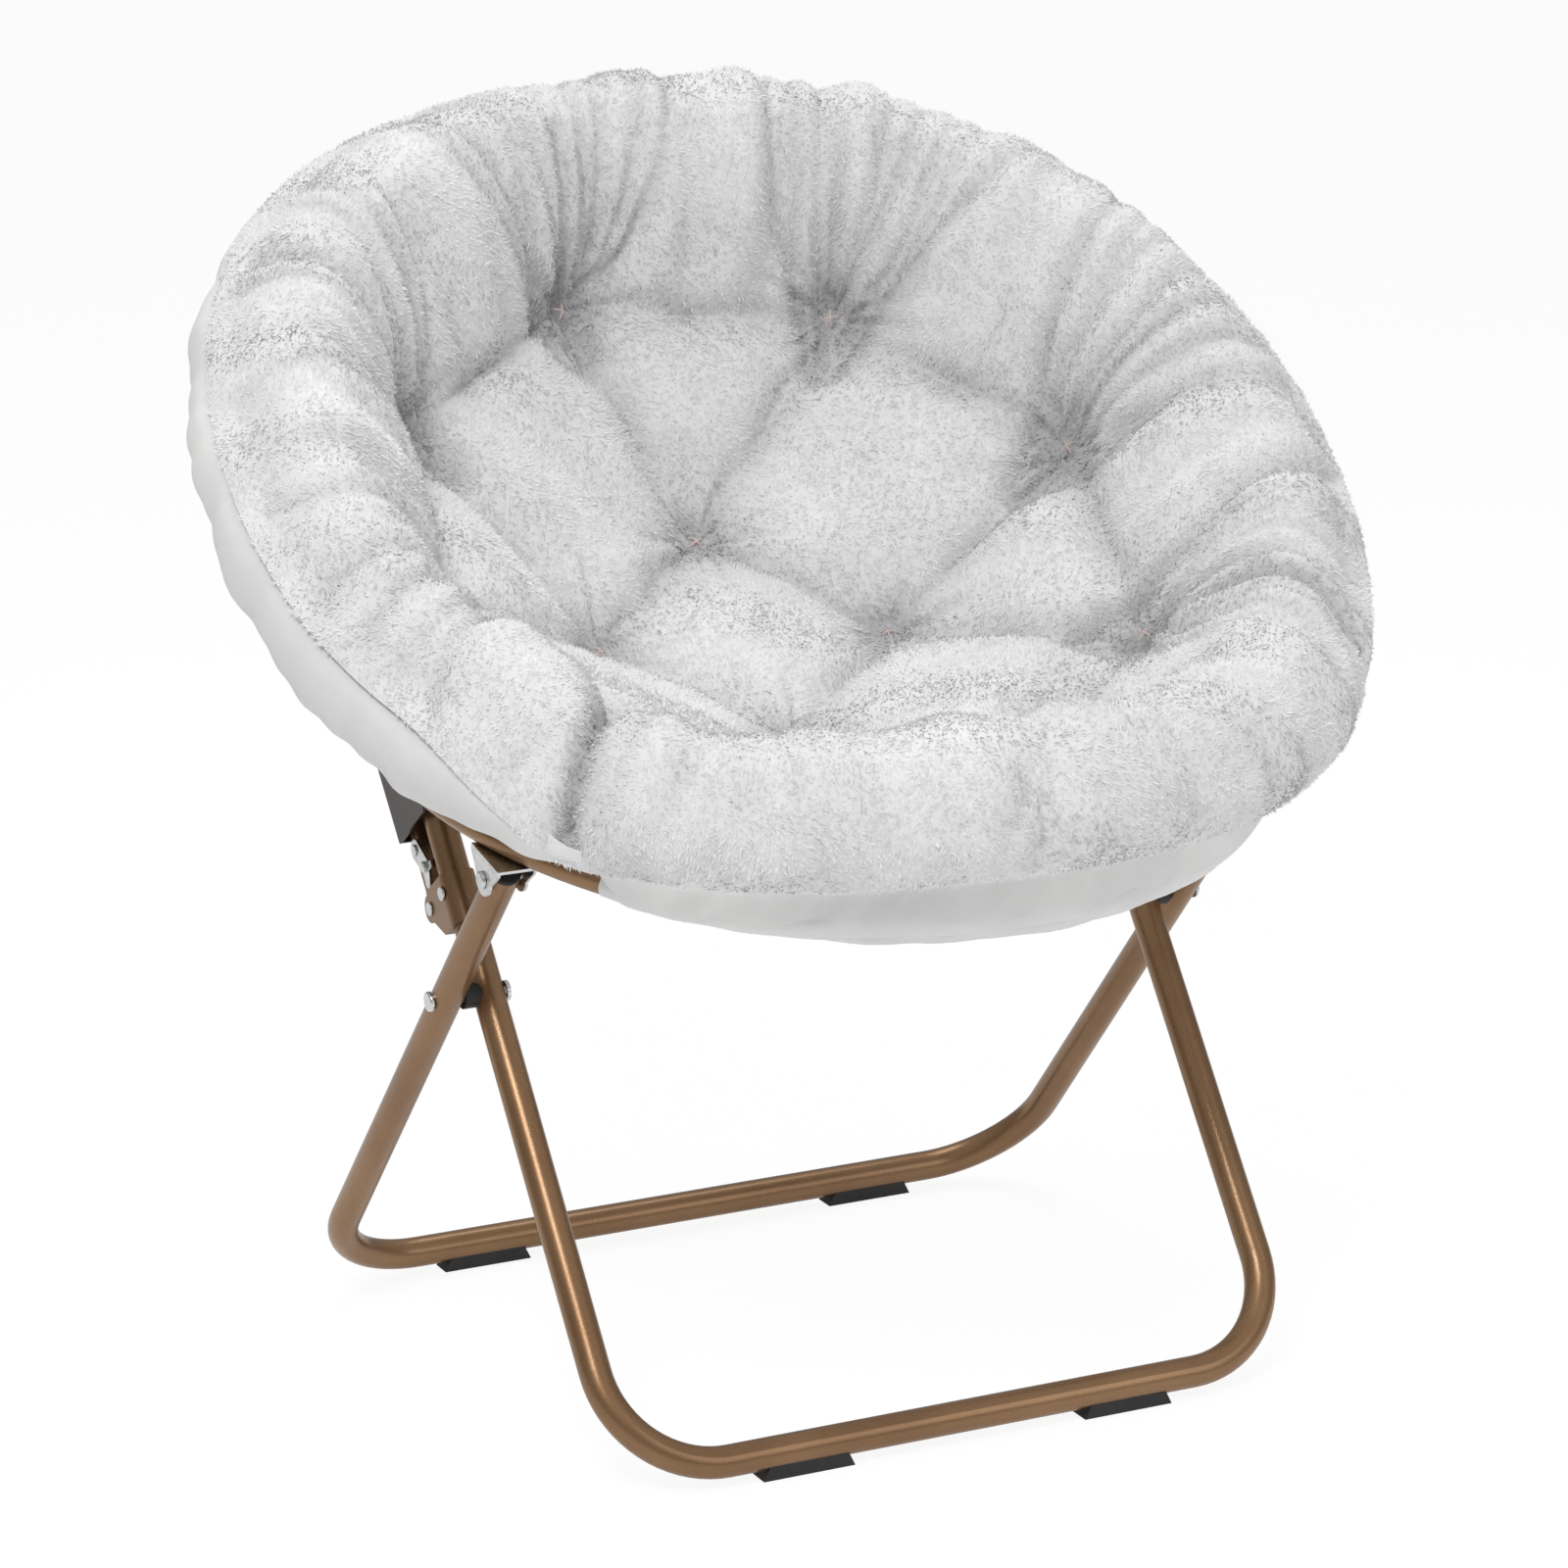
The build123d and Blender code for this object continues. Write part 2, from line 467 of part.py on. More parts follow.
# ---------------------------------------------------------------- latches
LATCH_X = LEG_IN_X + LINK_W / 2 + SEAT_GAP
LATCH_R = 7.5
STUD_END_R = 6.5             # blade round the stud
STUD_HEAD_R = 4.0
TAB_S, TAB_N, TAB_R = 92.0, 21.5, 4.0
NOSE_S, NOSE_N, NOSE_W = 100.5, NOTCH_N, 5.0
NOSE_PLAY = 0.5              # between the nose and the end of its notch
NOSE_X = LEG_IN_X + NOTCH_OFF + NOSE_PLAY
with BuildPart() as latch_left:
    for first, second in (((LATCH_S, LATCH_N, LATCH_R), (STUD_S, STUD_N, STUD_END_R)),
                          ((STUD_S, STUD_N, STUD_END_R), (TAB_S, TAB_N, TAB_R))):
        with BuildSketch(side_plane(PIVOT, -LATCH_X, UP_IN)) as blade:
            for s, n, r in (first, second):
                with Locations((s, n)):
                    Circle(r)
            make_hull()
        extrude(blade.sketch, amount=LATCH_T)
    with BuildSketch(side_plane(PIVOT, -LATCH_X, UP_IN)):
        with Locations((NOSE_S, (STUD_N + NOSE_N - LATCH_T / 2) / 2)):
            Rectangle(NOSE_W, STUD_N - NOSE_N + LATCH_T / 2)
    extrude(amount=LATCH_T)
    with BuildSketch(side_plane(PIVOT, -NOSE_X, UP_IN)):
        with Locations((NOSE_S, NOSE_N)):
            Rectangle(NOSE_W, LATCH_T)
    extrude(amount=LATCH_X + LATCH_T - NOSE_X)
    bore(on_leg(LATCH_S, LATCH_N), LATCH_PIN_R + RUN_FIT, LEG_OUT_X)
    bore(on_leg(STUD_S, STUD_N), LATCH_PIN_R + RUN_FIT, LEG_OUT_X)
with BuildPart() as latch_right:
    mirror(latch_left.part, about=Plane.YZ)

with BuildPart() as latch_rivets:
    cross_pin(on_leg(LATCH_S, LATCH_N), LATCH_PIN_R, LEG_IN_X + LINK_W / 2 - LINK_T - SEAT_GAP,
              LATCH_X + LATCH_T + SEAT_GAP, STUD_HEAD_R, RIVET_HEAD / 2)
    mirror(about=Plane.YZ)

with BuildPart() as latch_stud_left:
    for r, x, length in ((LATCH_PIN_R, LATCH_X + RUN_FIT, LATCH_T + SEAT_GAP),
                         (STUD_HEAD_R, LATCH_X + LATCH_T + SEAT_GAP, RIVET_HEAD)):
        with BuildSketch(cross_plane(on_leg(STUD_S, STUD_N), -x)) as disc:
            Circle(r)
        extrude(disc.sketch, amount=length)
    fillet(edges().filter_by(GeomType.CIRCLE).group_by(Axis.X)[0], RIVET_HEAD * HEAD_DOME)
with BuildPart() as latch_stud_right:
    mirror(latch_stud_left.part, about=Plane.YZ)

# ---------------------------------------------------------------- fabric sleeves on the hoops
SLEEVE_T = 1.8
SLEEVE_IN = HOOP_R + SEAT_GAP
SLEEVE_R = SLEEVE_IN + SLEEVE_T
FRONT_SLEEVE_A = 36.7        # angle along the front hoop left bare on each side
REAR_SLEEVE_A = 15.0         # bend angle of the rear hoop left bare

with BuildPart() as front_sleeve:
    with BuildLine(front_hoop_plane) as front_sleeve_path:
        CenterArc((0, 0), HOOP_OUT_R, 180 + FRONT_SLEEVE_A, 180 - 2 * FRONT_SLEEVE_A)
    with BuildSketch(Plane(origin=front_sleeve_path.line @ 0, z_dir=front_sleeve_path.line % 0)):
        Circle(SLEEVE_R)
        Circle(SLEEVE_IN, mode=Mode.SUBTRACT)
    sweep(path=front_sleeve_path.line)

with BuildPart() as rear_sleeve:
    with BuildLine() as rear_sleeve_path:
        sleeve_points = []
        for turn in (REAR_SLEEVE_A, (REAR_SLEEVE_A + REAR_TILT) / 2):
            t = radians(turn)
            sleeve_points.append(STUB_END + Vector(0, STUB_BEND * sin(t), STUB_BEND * (1 - cos(t))))
        first, middle = sleeve_points
        ThreePointArc(at_x(first, -HOOP_IN_R), at_x(middle, -HOOP_IN_R), at_x(BEND_END, -HOOP_IN_R))
        Line(at_x(BEND_END, -HOOP_IN_R), at_x(ARC_FOOT, -HOOP_IN_R))
        ThreePointArc(at_x(ARC_FOOT, -HOOP_IN_R), ARC_TOP, at_x(ARC_FOOT, HOOP_IN_R))
        Line(at_x(ARC_FOOT, HOOP_IN_R), at_x(BEND_END, HOOP_IN_R))
        ThreePointArc(at_x(BEND_END, HOOP_IN_R), at_x(middle, HOOP_IN_R), at_x(first, HOOP_IN_R))
    with BuildSketch(Plane(origin=rear_sleeve_path.line @ 0, z_dir=rear_sleeve_path.line % 0)):
        Circle(SLEEVE_R)
        Circle(SLEEVE_IN, mode=Mode.SUBTRACT)
    sweep(path=rear_sleeve_path.line)

# ---------------------------------------------------------------- under covers
BOX = 4 * COVER_R
cover_up = sqrt(COVER_R ** 2 - COVER_EDGE ** 2)
RIM = Vector(0, PIVOT_Y + RIM_Y, RIM_Z)
rim_normal = Vector(0, -sin(radians(RIM_TILT)), cos(radians(RIM_TILT)))
BOWL_MID = RIM + rim_normal * BOWL_UP
cover_centre = HINGE + front_hoop_plane.z_dir * cover_up
RELIEF_SIDE = 3.0            # beside and behind the brackets
RELIEF_X = LEG_IN_X - BRACKET_IN - BRACKET_T - RELIEF_SIDE
RELIEF_Y = -43.0             # room beside the hinge, from here to behind the bracket plate


def hinge_relief():
    """Cut away the cover beside the hinge, where the leg tops, links and brackets pass."""
    for side in (-1, 1):
        with BuildSketch(Plane(origin=(side * (RELIEF_X + HOOP_OUT_R), PIVOT_Y + RELIEF_Y, 0))) as room:
            Rectangle(2 * HOOP_OUT_R, PLATE_Y1 + RELIEF_SIDE - RELIEF_Y, align=(Align.CENTER, Align.MIN))
        extrude(room.sketch, amount=BOX, mode=Mode.SUBTRACT)


def belly_clearance():
    """Keep the cover clear of the underside of the cushion."""
    with Locations(Location(BOWL_MID)):
        Sphere(BELLY_R + CLEAR, mode=Mode.SUBTRACT)


with BuildPart() as under_cover_front:
    with Locations(Location(cover_centre)):
        Sphere(COVER_R + COVER_T)
        Sphere(COVER_R, mode=Mode.SUBTRACT)
    split(bisect_by=front_hoop_plane.offset(-CLEAR), keep=Keep.BOTTOM)
    split(bisect_by=Plane(origin=HINGE - Vector(0, CLEAR, 0), z_dir=(0, 1, 0)), keep=Keep.BOTTOM)
    with BuildSketch(Plane(origin=front_hoop_path.line @ 0, z_dir=front_hoop_path.line % 0)):
        Circle(SLEEVE_R + CLEAR)
    sweep(path=front_hoop_path.line, mode=Mode.SUBTRACT)
    hinge_relief()
    belly_clearance()
    add(solids().sort_by(SortBy.VOLUME)[-1], mode=Mode.REPLACE)

with BuildPart() as under_cover_rear:
    with Locations(Location(cover_centre)):
        Sphere(COVER_R + COVER_T)
        Sphere(COVER_R, mode=Mode.SUBTRACT)
    split(bisect_by=Plane(origin=HINGE + Vector(0, CLEAR, 0), z_dir=(0, 1, 0)), keep=Keep.TOP)
    with BuildSketch(Plane(origin=(0, 0, 0), x_dir=(0, 1, 0), z_dir=(1, 0, 0))):
        with BuildLine():
            foot = STUB_END - Vector(0, 0, CLEAR)
            Polyline((HINGE.Y - BOX, foot.Z), (foot.Y, foot.Z),
                     ((foot + REAR_UP * BOX).Y, (foot + REAR_UP * BOX).Z),
                     (HINGE.Y - BOX, foot.Z + BOX), (HINGE.Y - BOX, foot.Z))
        make_face()
    extrude(amount=BOX, both=True, mode=Mode.SUBTRACT)
    with BuildSketch(Plane(origin=ARC_FOOT, x_dir=(1, 0, 0), z_dir=(0, -REAR_UP.Z, REAR_UP.Y))):
        Circle(HOOP_IN_R - SLEEVE_R - CLEAR)
        Rectangle(2 * (HOOP_IN_R - SLEEVE_R - CLEAR), BOX, align=(Align.CENTER, Align.MAX))
    extrude(amount=BOX, both=True, mode=Mode.INTERSECT)
    with BuildSketch(Plane(origin=rear_hoop_path.line @ 0, z_dir=rear_hoop_path.line % 0)):
        Circle(SLEEVE_R + CLEAR)
    sweep(path=rear_hoop_path.line, mode=Mode.SUBTRACT)
    hinge_relief()
    belly_clearance()
    add(solids().sort_by(SortBy.VOLUME)[-1], mode=Mode.REPLACE)

# ---------------------------------------------------------------- seat cushion
rim_back = Vector(0, cos(radians(RIM_TILT)), sin(radians(RIM_TILT)))
rim_cut = Plane(origin=RIM, x_dir=(1, 0, 0), z_dir=rim_back * -1)
TUFTS_OUT, TUFTS_IN = 8, 4
TUFT_OUT_IN = 106.4          # outer tufts inside the rim's centre line
TUFT_OUT_R, TUFT_IN_R = RIM_R - TUFT_OUT_IN, 110.0
TUFT_OUT_TURN, TUFT_IN_TURN = 10.0, 4.0
GROOVE_R = 16.0              # sewn channels
GROOVE_UP = 13.0             # middle of a channel above the tufts that it joins
DIMPLE_R, DIMPLE_DEEP = 36.0, 2.0
HOLLOW_R = SEAT_R - PUFF
ROLL_A = 135.0               # where the seat runs into the roll
BELLY_A = 70.0               # where the roll runs into the underside


def in_bowl(r, angle, deep=0.0):
    """Point on the hollow of the seat at radius r, sunk by deep; angle from the back to +X."""
    drop = sqrt(SEAT_R ** 2 - r ** 2)
    a = radians(angle)
    ray = (Vector(1, 0, 0) * sin(a) + rim_back * cos(a)) * r - rim_normal * drop
    return BOWL_MID + ray * ((SEAT_R + deep) / SEAT_R)


outer_tufts = [(TUFT_OUT_R, 360 / TUFTS_OUT * (i + 0.5) + TUFT_OUT_TURN) for i in range(TUFTS_OUT)]
inner_tufts = [(TUFT_IN_R, 360 / TUFTS_IN * i + TUFT_IN_TURN) for i in range(TUFTS_IN)]
creases = [(outer_tufts[i], outer_tufts[i - 1]) for i in range(TUFTS_OUT)]
creases += [(inner_tufts[i], inner_tufts[i - 1]) for i in range(TUFTS_IN)]
creases += [(inner_tufts[i], outer_tufts[2 * i]) for i in range(TUFTS_IN)]
creases += [(inner_tufts[i], outer_tufts[2 * i - 1]) for i in range(TUFTS_IN)]

with BuildPart() as seat_cushion:
    belly_r = RIM_R - RIM_ROLL * cos(radians(BELLY_A))
    seat_w = BOWL_UP - sqrt(HOLLOW_R ** 2 - TUFT_OUT_R ** 2)
    seat_mid = TUFT_OUT_R / 2
    belly_w = BOWL_UP - sqrt(BELLY_R ** 2 - belly_r ** 2)
    turn = radians(ROLL_A)
    with BuildSketch(rim_cut):
        with BuildLine():
            Line((0, BOWL_UP - BELLY_R), (0, BOWL_UP - HOLLOW_R))
            ThreePointArc((0, BOWL_UP - HOLLOW_R), (seat_mid, BOWL_UP - sqrt(HOLLOW_R ** 2 - seat_mid ** 2)),
                          (TUFT_OUT_R, seat_w))
            Line((TUFT_OUT_R, seat_w), (RIM_R + RIM_ROLL * cos(turn), RIM_ROLL * sin(turn)))
            ThreePointArc((RIM_R + RIM_ROLL * cos(turn), RIM_ROLL * sin(turn)), (RIM_R + RIM_ROLL, 0),
                          (belly_r, belly_w))
            ThreePointArc((belly_r, belly_w),
                          (belly_r / 2, BOWL_UP - sqrt(BELLY_R ** 2 - belly_r ** 2 / 4)),
                          (0, BOWL_UP - BELLY_R))
        make_face()
    revolve(axis=Axis(RIM, rim_normal))
    for path in (front_hoop_path.line, rear_hoop_path.line):
        with BuildSketch(Plane(origin=path @ 0, z_dir=path % 0)) as tube:
            Circle(SLEEVE_R + CLEAR)
        sweep(tube.sketch, path=path, mode=Mode.SUBTRACT)
    for side in (-1, 1):
        with BuildSketch(Plane(origin=(side * (RELIEF_X + HOOP_OUT_R), PIVOT_Y + RELIEF_Y, 0))) as room:
            Rectangle(2 * HOOP_OUT_R, PLATE_Y1 + RELIEF_SIDE - RELIEF_Y, align=(Align.CENTER, Align.MIN))
        extrude(room.sketch, amount=PLATE_Z + CLEAR, mode=Mode.SUBTRACT)
    for r, a in outer_tufts + inner_tufts:
        with Locations(Location(in_bowl(r, a, DIMPLE_DEEP - DIMPLE_R))):
            Sphere(DIMPLE_R, mode=Mode.SUBTRACT)
    for (r1, a1), (r2, a2) in creases:
        start, end = in_bowl(r1, a1, -GROOVE_UP), in_bowl(r2, a2, -GROOVE_UP)
        with BuildSketch(Plane(origin=start, z_dir=end - start)) as pipe:
            Circle(GROOVE_R)
        extrude(pipe.sketch, amount=(end - start).length, mode=Mode.SUBTRACT)

os.makedirs("parts", exist_ok=True)
for label, shape in (
    ("front_leg_frame", front_leg_frame),
    ("rear_leg_frame", rear_leg_frame),
    ("front_hoop", front_hoop),
    ("rear_hoop", rear_hoop),
    ("hoop_hinge_pins", hoop_hinge_pins),
    ("hinge_washers", hinge_washers),
    ("scissor_rivets", scissor_rivets),
    ("scissor_spacers", scissor_spacers),
    ("front_leg_plugs", front_leg_plugs),
    ("rear_leg_plugs", rear_leg_plugs),
    ("front_floor_pads", front_floor_pads),
    ("rear_floor_pads", rear_floor_pads),
    ("saddle_bracket_left", saddle_bracket_left),
    ("saddle_bracket_right", saddle_bracket_right),
    ("saddle_rivets", saddle_rivets),
    ("clamp_plate_left", clamp_plate_left),
    ("clamp_plate_right", clamp_plate_right),
    ("clamp_rivets", clamp_rivets),
    ("clamp_leg_rivets", clamp_leg_rivets),
    ("lock_link_left", lock_link_left),
    ("lock_link_right", lock_link_right),
    ("rear_bracket_left", rear_bracket_left),
    ("rear_bracket_right", rear_bracket_right),
    ("bracket_pins", bracket_pins),
    ("latch_left", latch_left),
    ("latch_right", latch_right),
    ("latch_rivets", latch_rivets),
    ("latch_stud_left", latch_stud_left),
    ("latch_stud_right", latch_stud_right),
    ("front_sleeve", front_sleeve),
    ("rear_sleeve", rear_sleeve),
    ("under_cover_front", under_cover_front),
    ("under_cover_rear", under_cover_rear),
    ("seat_cushion", seat_cushion),
):
    shape.part.label = label
    export_step(shape.part, f"parts/{label}.step")
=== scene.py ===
import json
import math

import bmesh
import bpy
import numpy as np
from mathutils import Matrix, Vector, kdtree


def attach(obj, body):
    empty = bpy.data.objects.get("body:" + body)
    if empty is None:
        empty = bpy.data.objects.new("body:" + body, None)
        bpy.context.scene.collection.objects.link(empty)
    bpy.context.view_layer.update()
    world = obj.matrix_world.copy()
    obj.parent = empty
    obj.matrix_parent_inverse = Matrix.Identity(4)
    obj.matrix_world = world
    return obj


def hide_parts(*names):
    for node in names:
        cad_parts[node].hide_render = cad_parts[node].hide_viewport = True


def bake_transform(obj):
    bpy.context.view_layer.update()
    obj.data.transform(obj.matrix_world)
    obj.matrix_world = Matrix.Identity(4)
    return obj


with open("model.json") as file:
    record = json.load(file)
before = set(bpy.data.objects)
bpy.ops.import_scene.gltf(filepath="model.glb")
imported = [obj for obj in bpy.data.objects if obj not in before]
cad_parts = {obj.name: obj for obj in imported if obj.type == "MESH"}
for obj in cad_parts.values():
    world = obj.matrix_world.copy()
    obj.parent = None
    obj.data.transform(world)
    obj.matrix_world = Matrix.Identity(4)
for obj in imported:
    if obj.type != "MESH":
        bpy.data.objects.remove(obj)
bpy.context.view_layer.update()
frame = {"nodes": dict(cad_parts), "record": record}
NODES = frame["nodes"]

# ---------------------------------------------------------------- places shared with the frame (metres)
PIVOT_Y = -0.0383                 # scissor pivot of the legs
HINGE = np.array([0.0, PIVOT_Y + 0.015, 0.455])     # hinge of the two hoops
HOOP_OUT_R, HOOP_IN_R = 0.308, 0.286
FRONT_TILT, RISE = math.radians(12.3), math.radians(52)     # front hoop falls, rear hoop rises
STUB_L, STUB_BEND, SIDE_L = 0.095, 0.12, 0.02       # level stub, bend and straight of the rear hoop
FRONT_BARE, REAR_BARE = 36.7, 15  # degrees of each hoop left without a sleeve
SLEEVE = 0.0124                   # radius of the sleeves
COVER_R, COVER_EDGE = 0.489, 0.296                  # ball of the under cover, its radius at the hoop
COVER_MID = 0.4905                # middle of the under cover's cloth
X = np.array([1.0, 0.0, 0.0])
Y = np.array([0.0, 1.0, 0.0])
Z = np.array([0.0, 0.0, 1.0])
TILT = math.radians(28.1)         # the rim's plane falls to the front
RIM = np.array([0.0, PIVOT_Y + 0.0466, 0.6204])
BACK = np.array([0.0, math.cos(TILT), math.sin(TILT)])
UP = np.array([0.0, -math.sin(TILT), math.cos(TILT)])


def put_in_scene(name, data):
    """New object with this data, linked into the scene."""
    obj = bpy.data.objects.new(name, data)
    bpy.context.scene.collection.objects.link(obj)
    return obj


# ---------------------------------------------------------------- materials
def srgb(r, g, b):
    """Linear colour of a screen colour."""
    def lin(c):
        c /= 255.0
        return c / 12.92 if c <= 0.04045 else ((c + 0.055) / 1.055) ** 2.4
    return (lin(r), lin(g), lin(b), 1.0)


class Nodes:
    """A material's node tree with short calls to add and join nodes."""

    def __init__(self, name):
        self.mat = bpy.data.materials.new(name)
        self.mat.use_nodes = True
        self.tree = self.mat.node_tree
        self.bsdf = self.tree.nodes["Principled BSDF"]

    def add(self, kind, **values):
        node = self.tree.nodes.new(kind)
        for key, value in values.items():
            if key in node.inputs:
                node.inputs[key].default_value = value
            else:
                setattr(node, key, value)
        return node

    def join(self, out, socket):
        self.tree.links.new(out, socket)

    def put(self, **values):
        for key, value in values.items():
            self.bsdf.inputs[key.replace("_", " ")].default_value = value

    def coords(self, scale=(1, 1, 1)):
        place = self.add("ShaderNodeTexCoord")
        mapping = self.add("ShaderNodeMapping", Scale=scale)
        self.join(place.outputs["Object"], mapping.inputs["Vector"])
        return mapping.outputs["Vector"]

    def noise(self, vector, scale, detail=3.0, rough=0.5):
        node = self.add("ShaderNodeTexNoise", Scale=scale, Detail=detail, Roughness=rough)
        self.join(vector, node.inputs["Vector"])
        return node.outputs["Fac"]

    def ramp(self, value, stops):
        node = self.add("ShaderNodeValToRGB")
        self.join(value, node.inputs["Fac"])
        while len(node.color_ramp.elements) < len(stops):
            node.color_ramp.elements.new(0.5)
        for element, (place, colour) in zip(node.color_ramp.elements, stops):
            element.position, element.color = place, colour
        return node.outputs["Color"]

    def bump(self, height, strength, distance):
        node = self.add("ShaderNodeBump", Strength=strength, Distance=distance)
        self.join(height, node.inputs["Height"])
        self.join(node.outputs["Normal"], self.bsdf.inputs["Normal"])


ROUGH_SPREAD = 0.07


def metal_paint(name, dark, light, metallic, rough):
    """Clear-coated metallic paint with a fine flake."""
    m = Nodes(name)
    v = m.coords()
    m.join(m.ramp(m.noise(v, 9.0), [(0.3, dark), (0.7, light)]), m.bsdf.inputs["Base Color"])
    flake = m.noise(v, 2600.0, 1.0)
    m.join(m.ramp(flake, [(0.35, (rough - ROUGH_SPREAD,) * 3 + (1,)),
                      (0.65, (rough + ROUGH_SPREAD,) * 3 + (1,))]),
           m.bsdf.inputs["Roughness"])
    m.bump(flake, 0.12, 0.0002)
    m.put(Metallic=metallic, Coat_Weight=0.25, Coat_Roughness=0.18)
    return m.mat


def zinc(name):
    """Bright plated steel with a drawn grain."""
    m = Nodes(name)
    v = m.coords()
    m.join(m.ramp(m.noise(v, 160.0, 4.0), [(0.3, srgb(196, 197, 198)), (0.7, srgb(228, 228, 226))]),
           m.bsdf.inputs["Base Color"])
    grain = m.noise(m.coords((40, 900, 900)), 2.0, 3.0)
    m.join(m.ramp(grain, [(0.3, (0.2, 0.2, 0.2, 1)), (0.7, (0.34, 0.34, 0.34, 1))]),
           m.bsdf.inputs["Roughness"])
    m.bump(grain, 0.15, 0.0002)
    m.put(Metallic=1.0)
    return m.mat


def plastic(name):
    """Black moulded plastic with a fine texture."""
    m = Nodes(name)
    v = m.coords()
    m.join(m.ramp(m.noise(v, 40.0), [(0.3, srgb(26, 25, 25)), (0.7, srgb(38, 36, 36))]),
           m.bsdf.inputs["Base Color"])
    m.bump(m.noise(v, 900.0, 2.0), 0.25, 0.0003)
    m.put(Roughness=0.55)
    return m.mat


def woven(name):
    """Plain white cloth with two crossing sets of threads."""
    m = Nodes(name)
    v = m.coords()
    m.join(m.ramp(m.noise(v, 7.0, 4.0), [(0.3, srgb(220, 220, 220)), (0.7, srgb(236, 236, 235))]),
           m.bsdf.inputs["Base Color"])
    parts = []
    for thread_turn in ((0.6, 0.5, 0.62), (0.6, -0.5, -0.62)):
        wave = m.add("ShaderNodeTexWave", Scale=330.0, Distortion=0.4, Detail=1.0)
        spin = m.add("ShaderNodeMapping", Rotation=thread_turn)
        m.join(v, spin.inputs["Vector"])
        m.join(spin.outputs["Vector"], wave.inputs["Vector"])
        parts.append(wave.outputs["Fac"])
    both = m.add("ShaderNodeMath", operation="MULTIPLY")
    m.join(parts[0], both.inputs[0])
    m.join(parts[1], both.inputs[1])
    m.bump(both.outputs[0], 0.35, 0.0004)
    m.put(Roughness=0.8, Sheen_Weight=0.15, Sheen_Roughness=0.5)
    return m.mat


CREASE_SHADE = (0.66, 0.66, 0.665, 1)     # painted shade: the plush is multiplied by this deep in a crease


def plush(name, dark, light, height):
    """White plush, clouded and grained, with painted shade that darkens it in creases, as the point attribute
    gives.
    """
    m = Nodes(name)
    v = m.coords()
    cloud = m.noise(v, 24.0, 5.0, 0.62)
    grain = m.noise(v, 210.0, 3.0, 0.7)
    both = m.add("ShaderNodeMath", operation="ADD")
    half = m.add("ShaderNodeMath", operation="MULTIPLY")
    half.inputs[1].default_value = 0.5
    m.join(cloud, both.inputs[0])
    m.join(grain, both.inputs[1])
    m.join(both.outputs[0], half.inputs[0])
    colour = m.ramp(half.outputs[0], [(0.34, dark), (0.62, light)])
    # painted shade of the creases, read from a point attribute
    fold = m.add("ShaderNodeAttribute", attribute_name="crease_shade")
    deep = m.add("ShaderNodeMix", data_type="RGBA", blend_type="MULTIPLY")
    m.join(m.ramp(fold.outputs["Fac"], [(0.0, (1, 1, 1, 1)), (1.0, CREASE_SHADE)]), deep.inputs["B"])
    deep.inputs["Factor"].default_value = 1.0
    m.join(colour, deep.inputs["A"])
    m.join(deep.outputs["Result"], m.bsdf.inputs["Base Color"])
    m.bump(grain, 0.75, height)
    m.put(Roughness=0.95, Sheen_Weight=0.35, Sheen_Roughness=0.6, Specular_IOR_Level=0.1)
    return m.mat


BRONZE = metal_paint("bronze_paint", srgb(132, 99, 68), srgb(152, 118, 84), 0.72, 0.34)
DARK = metal_paint("dark_bronze", srgb(44, 31, 27), srgb(60, 42, 35), 0.5, 0.42)
ZINC = zinc("zinc")
BLACK = plastic("black_plastic")
SHELL = woven("shell_fabric")
PLUSH = plush("plush", srgb(218, 218, 220), srgb(235, 235, 235), 0.0016)
PILE = plush("plush_pile", srgb(222, 222, 223), srgb(241, 241, 241), 0.0003)
BY_SLOT = {"bronze_paint": BRONZE, "dark_bronze": DARK, "zinc": ZINC, "black_plastic": BLACK,
           "shell_fabric": SHELL, "plush": PLUSH}
for part in frame["record"]["subparts"]:
    node = NODES[part["node"]]
    node.data.materials.clear()
    node.data.materials.append(BY_SLOT[part["material_slot"]])


# ---------------------------------------------------------------- the bowl of the seat
def smooth(t):
    """Ease from 0 to 1 while t runs from 0 to 1."""
    t = np.clip(t, 0, 1)
    return t * t * (3 - 2 * t)


RIM_R, ROLL = 0.3734, 0.045       # centre line of the rolled rim, radius of the roll
# the rim isn't a flat circle: cosine terms round it, for its radius and its height
RIM_A = np.array([-0.7, 3.4, -3.0, 0.6, -4.9]) / 1000
RIM_B = np.array([-0.1, 5.3, 15.5, -11.1, 2.4]) / 1000
SHIFT_R, SHIFT_W = -0.0131, -0.001
TUCK, TUCK_AT, TUCK_WIDE = 0.012, 2.1, 0.5          # the rim is drawn in at one gathered corner
SEAT_R, BOWL_UP = 0.363, 0.182    # hollow of the seat, its centre above the rim's plane
TUFTS_OUT = [(0.267, math.radians(22.5 + 45 * i + 10)) for i in range(8)]
TUFTS_IN = [(0.110, math.radians(90 * i + 4)) for i in range(4)]
BOWL_MID = RIM + UP * BOWL_UP


def turn_from(phi, mark):
    """Angle round the rim between phi and a mark, without sign."""
    return np.abs((phi - mark + math.pi) % (2 * math.pi) - math.pi)


def rim_rw(phi):
    """Radius and height of the roll's centre line, in the rim's own frame."""
    k = np.arange(5)
    c = np.cos(np.multiply.outer(phi, k))
    tuck = TUCK * np.exp(-(((phi - TUCK_AT) / TUCK_WIDE) ** 2))
    return RIM_R + c @ RIM_A + SHIFT_R * np.cos(phi) - tuck, c @ RIM_B + SHIFT_W


def place(phi, r, w):
    """Point from angle, radius and height in the rim's frame."""
    phi, r, w = np.broadcast_arrays(phi, r, w)
    return (RIM + r[..., None] * (np.sin(phi)[..., None] * X + np.cos(phi)[..., None] * BACK)
            + w[..., None] * UP)


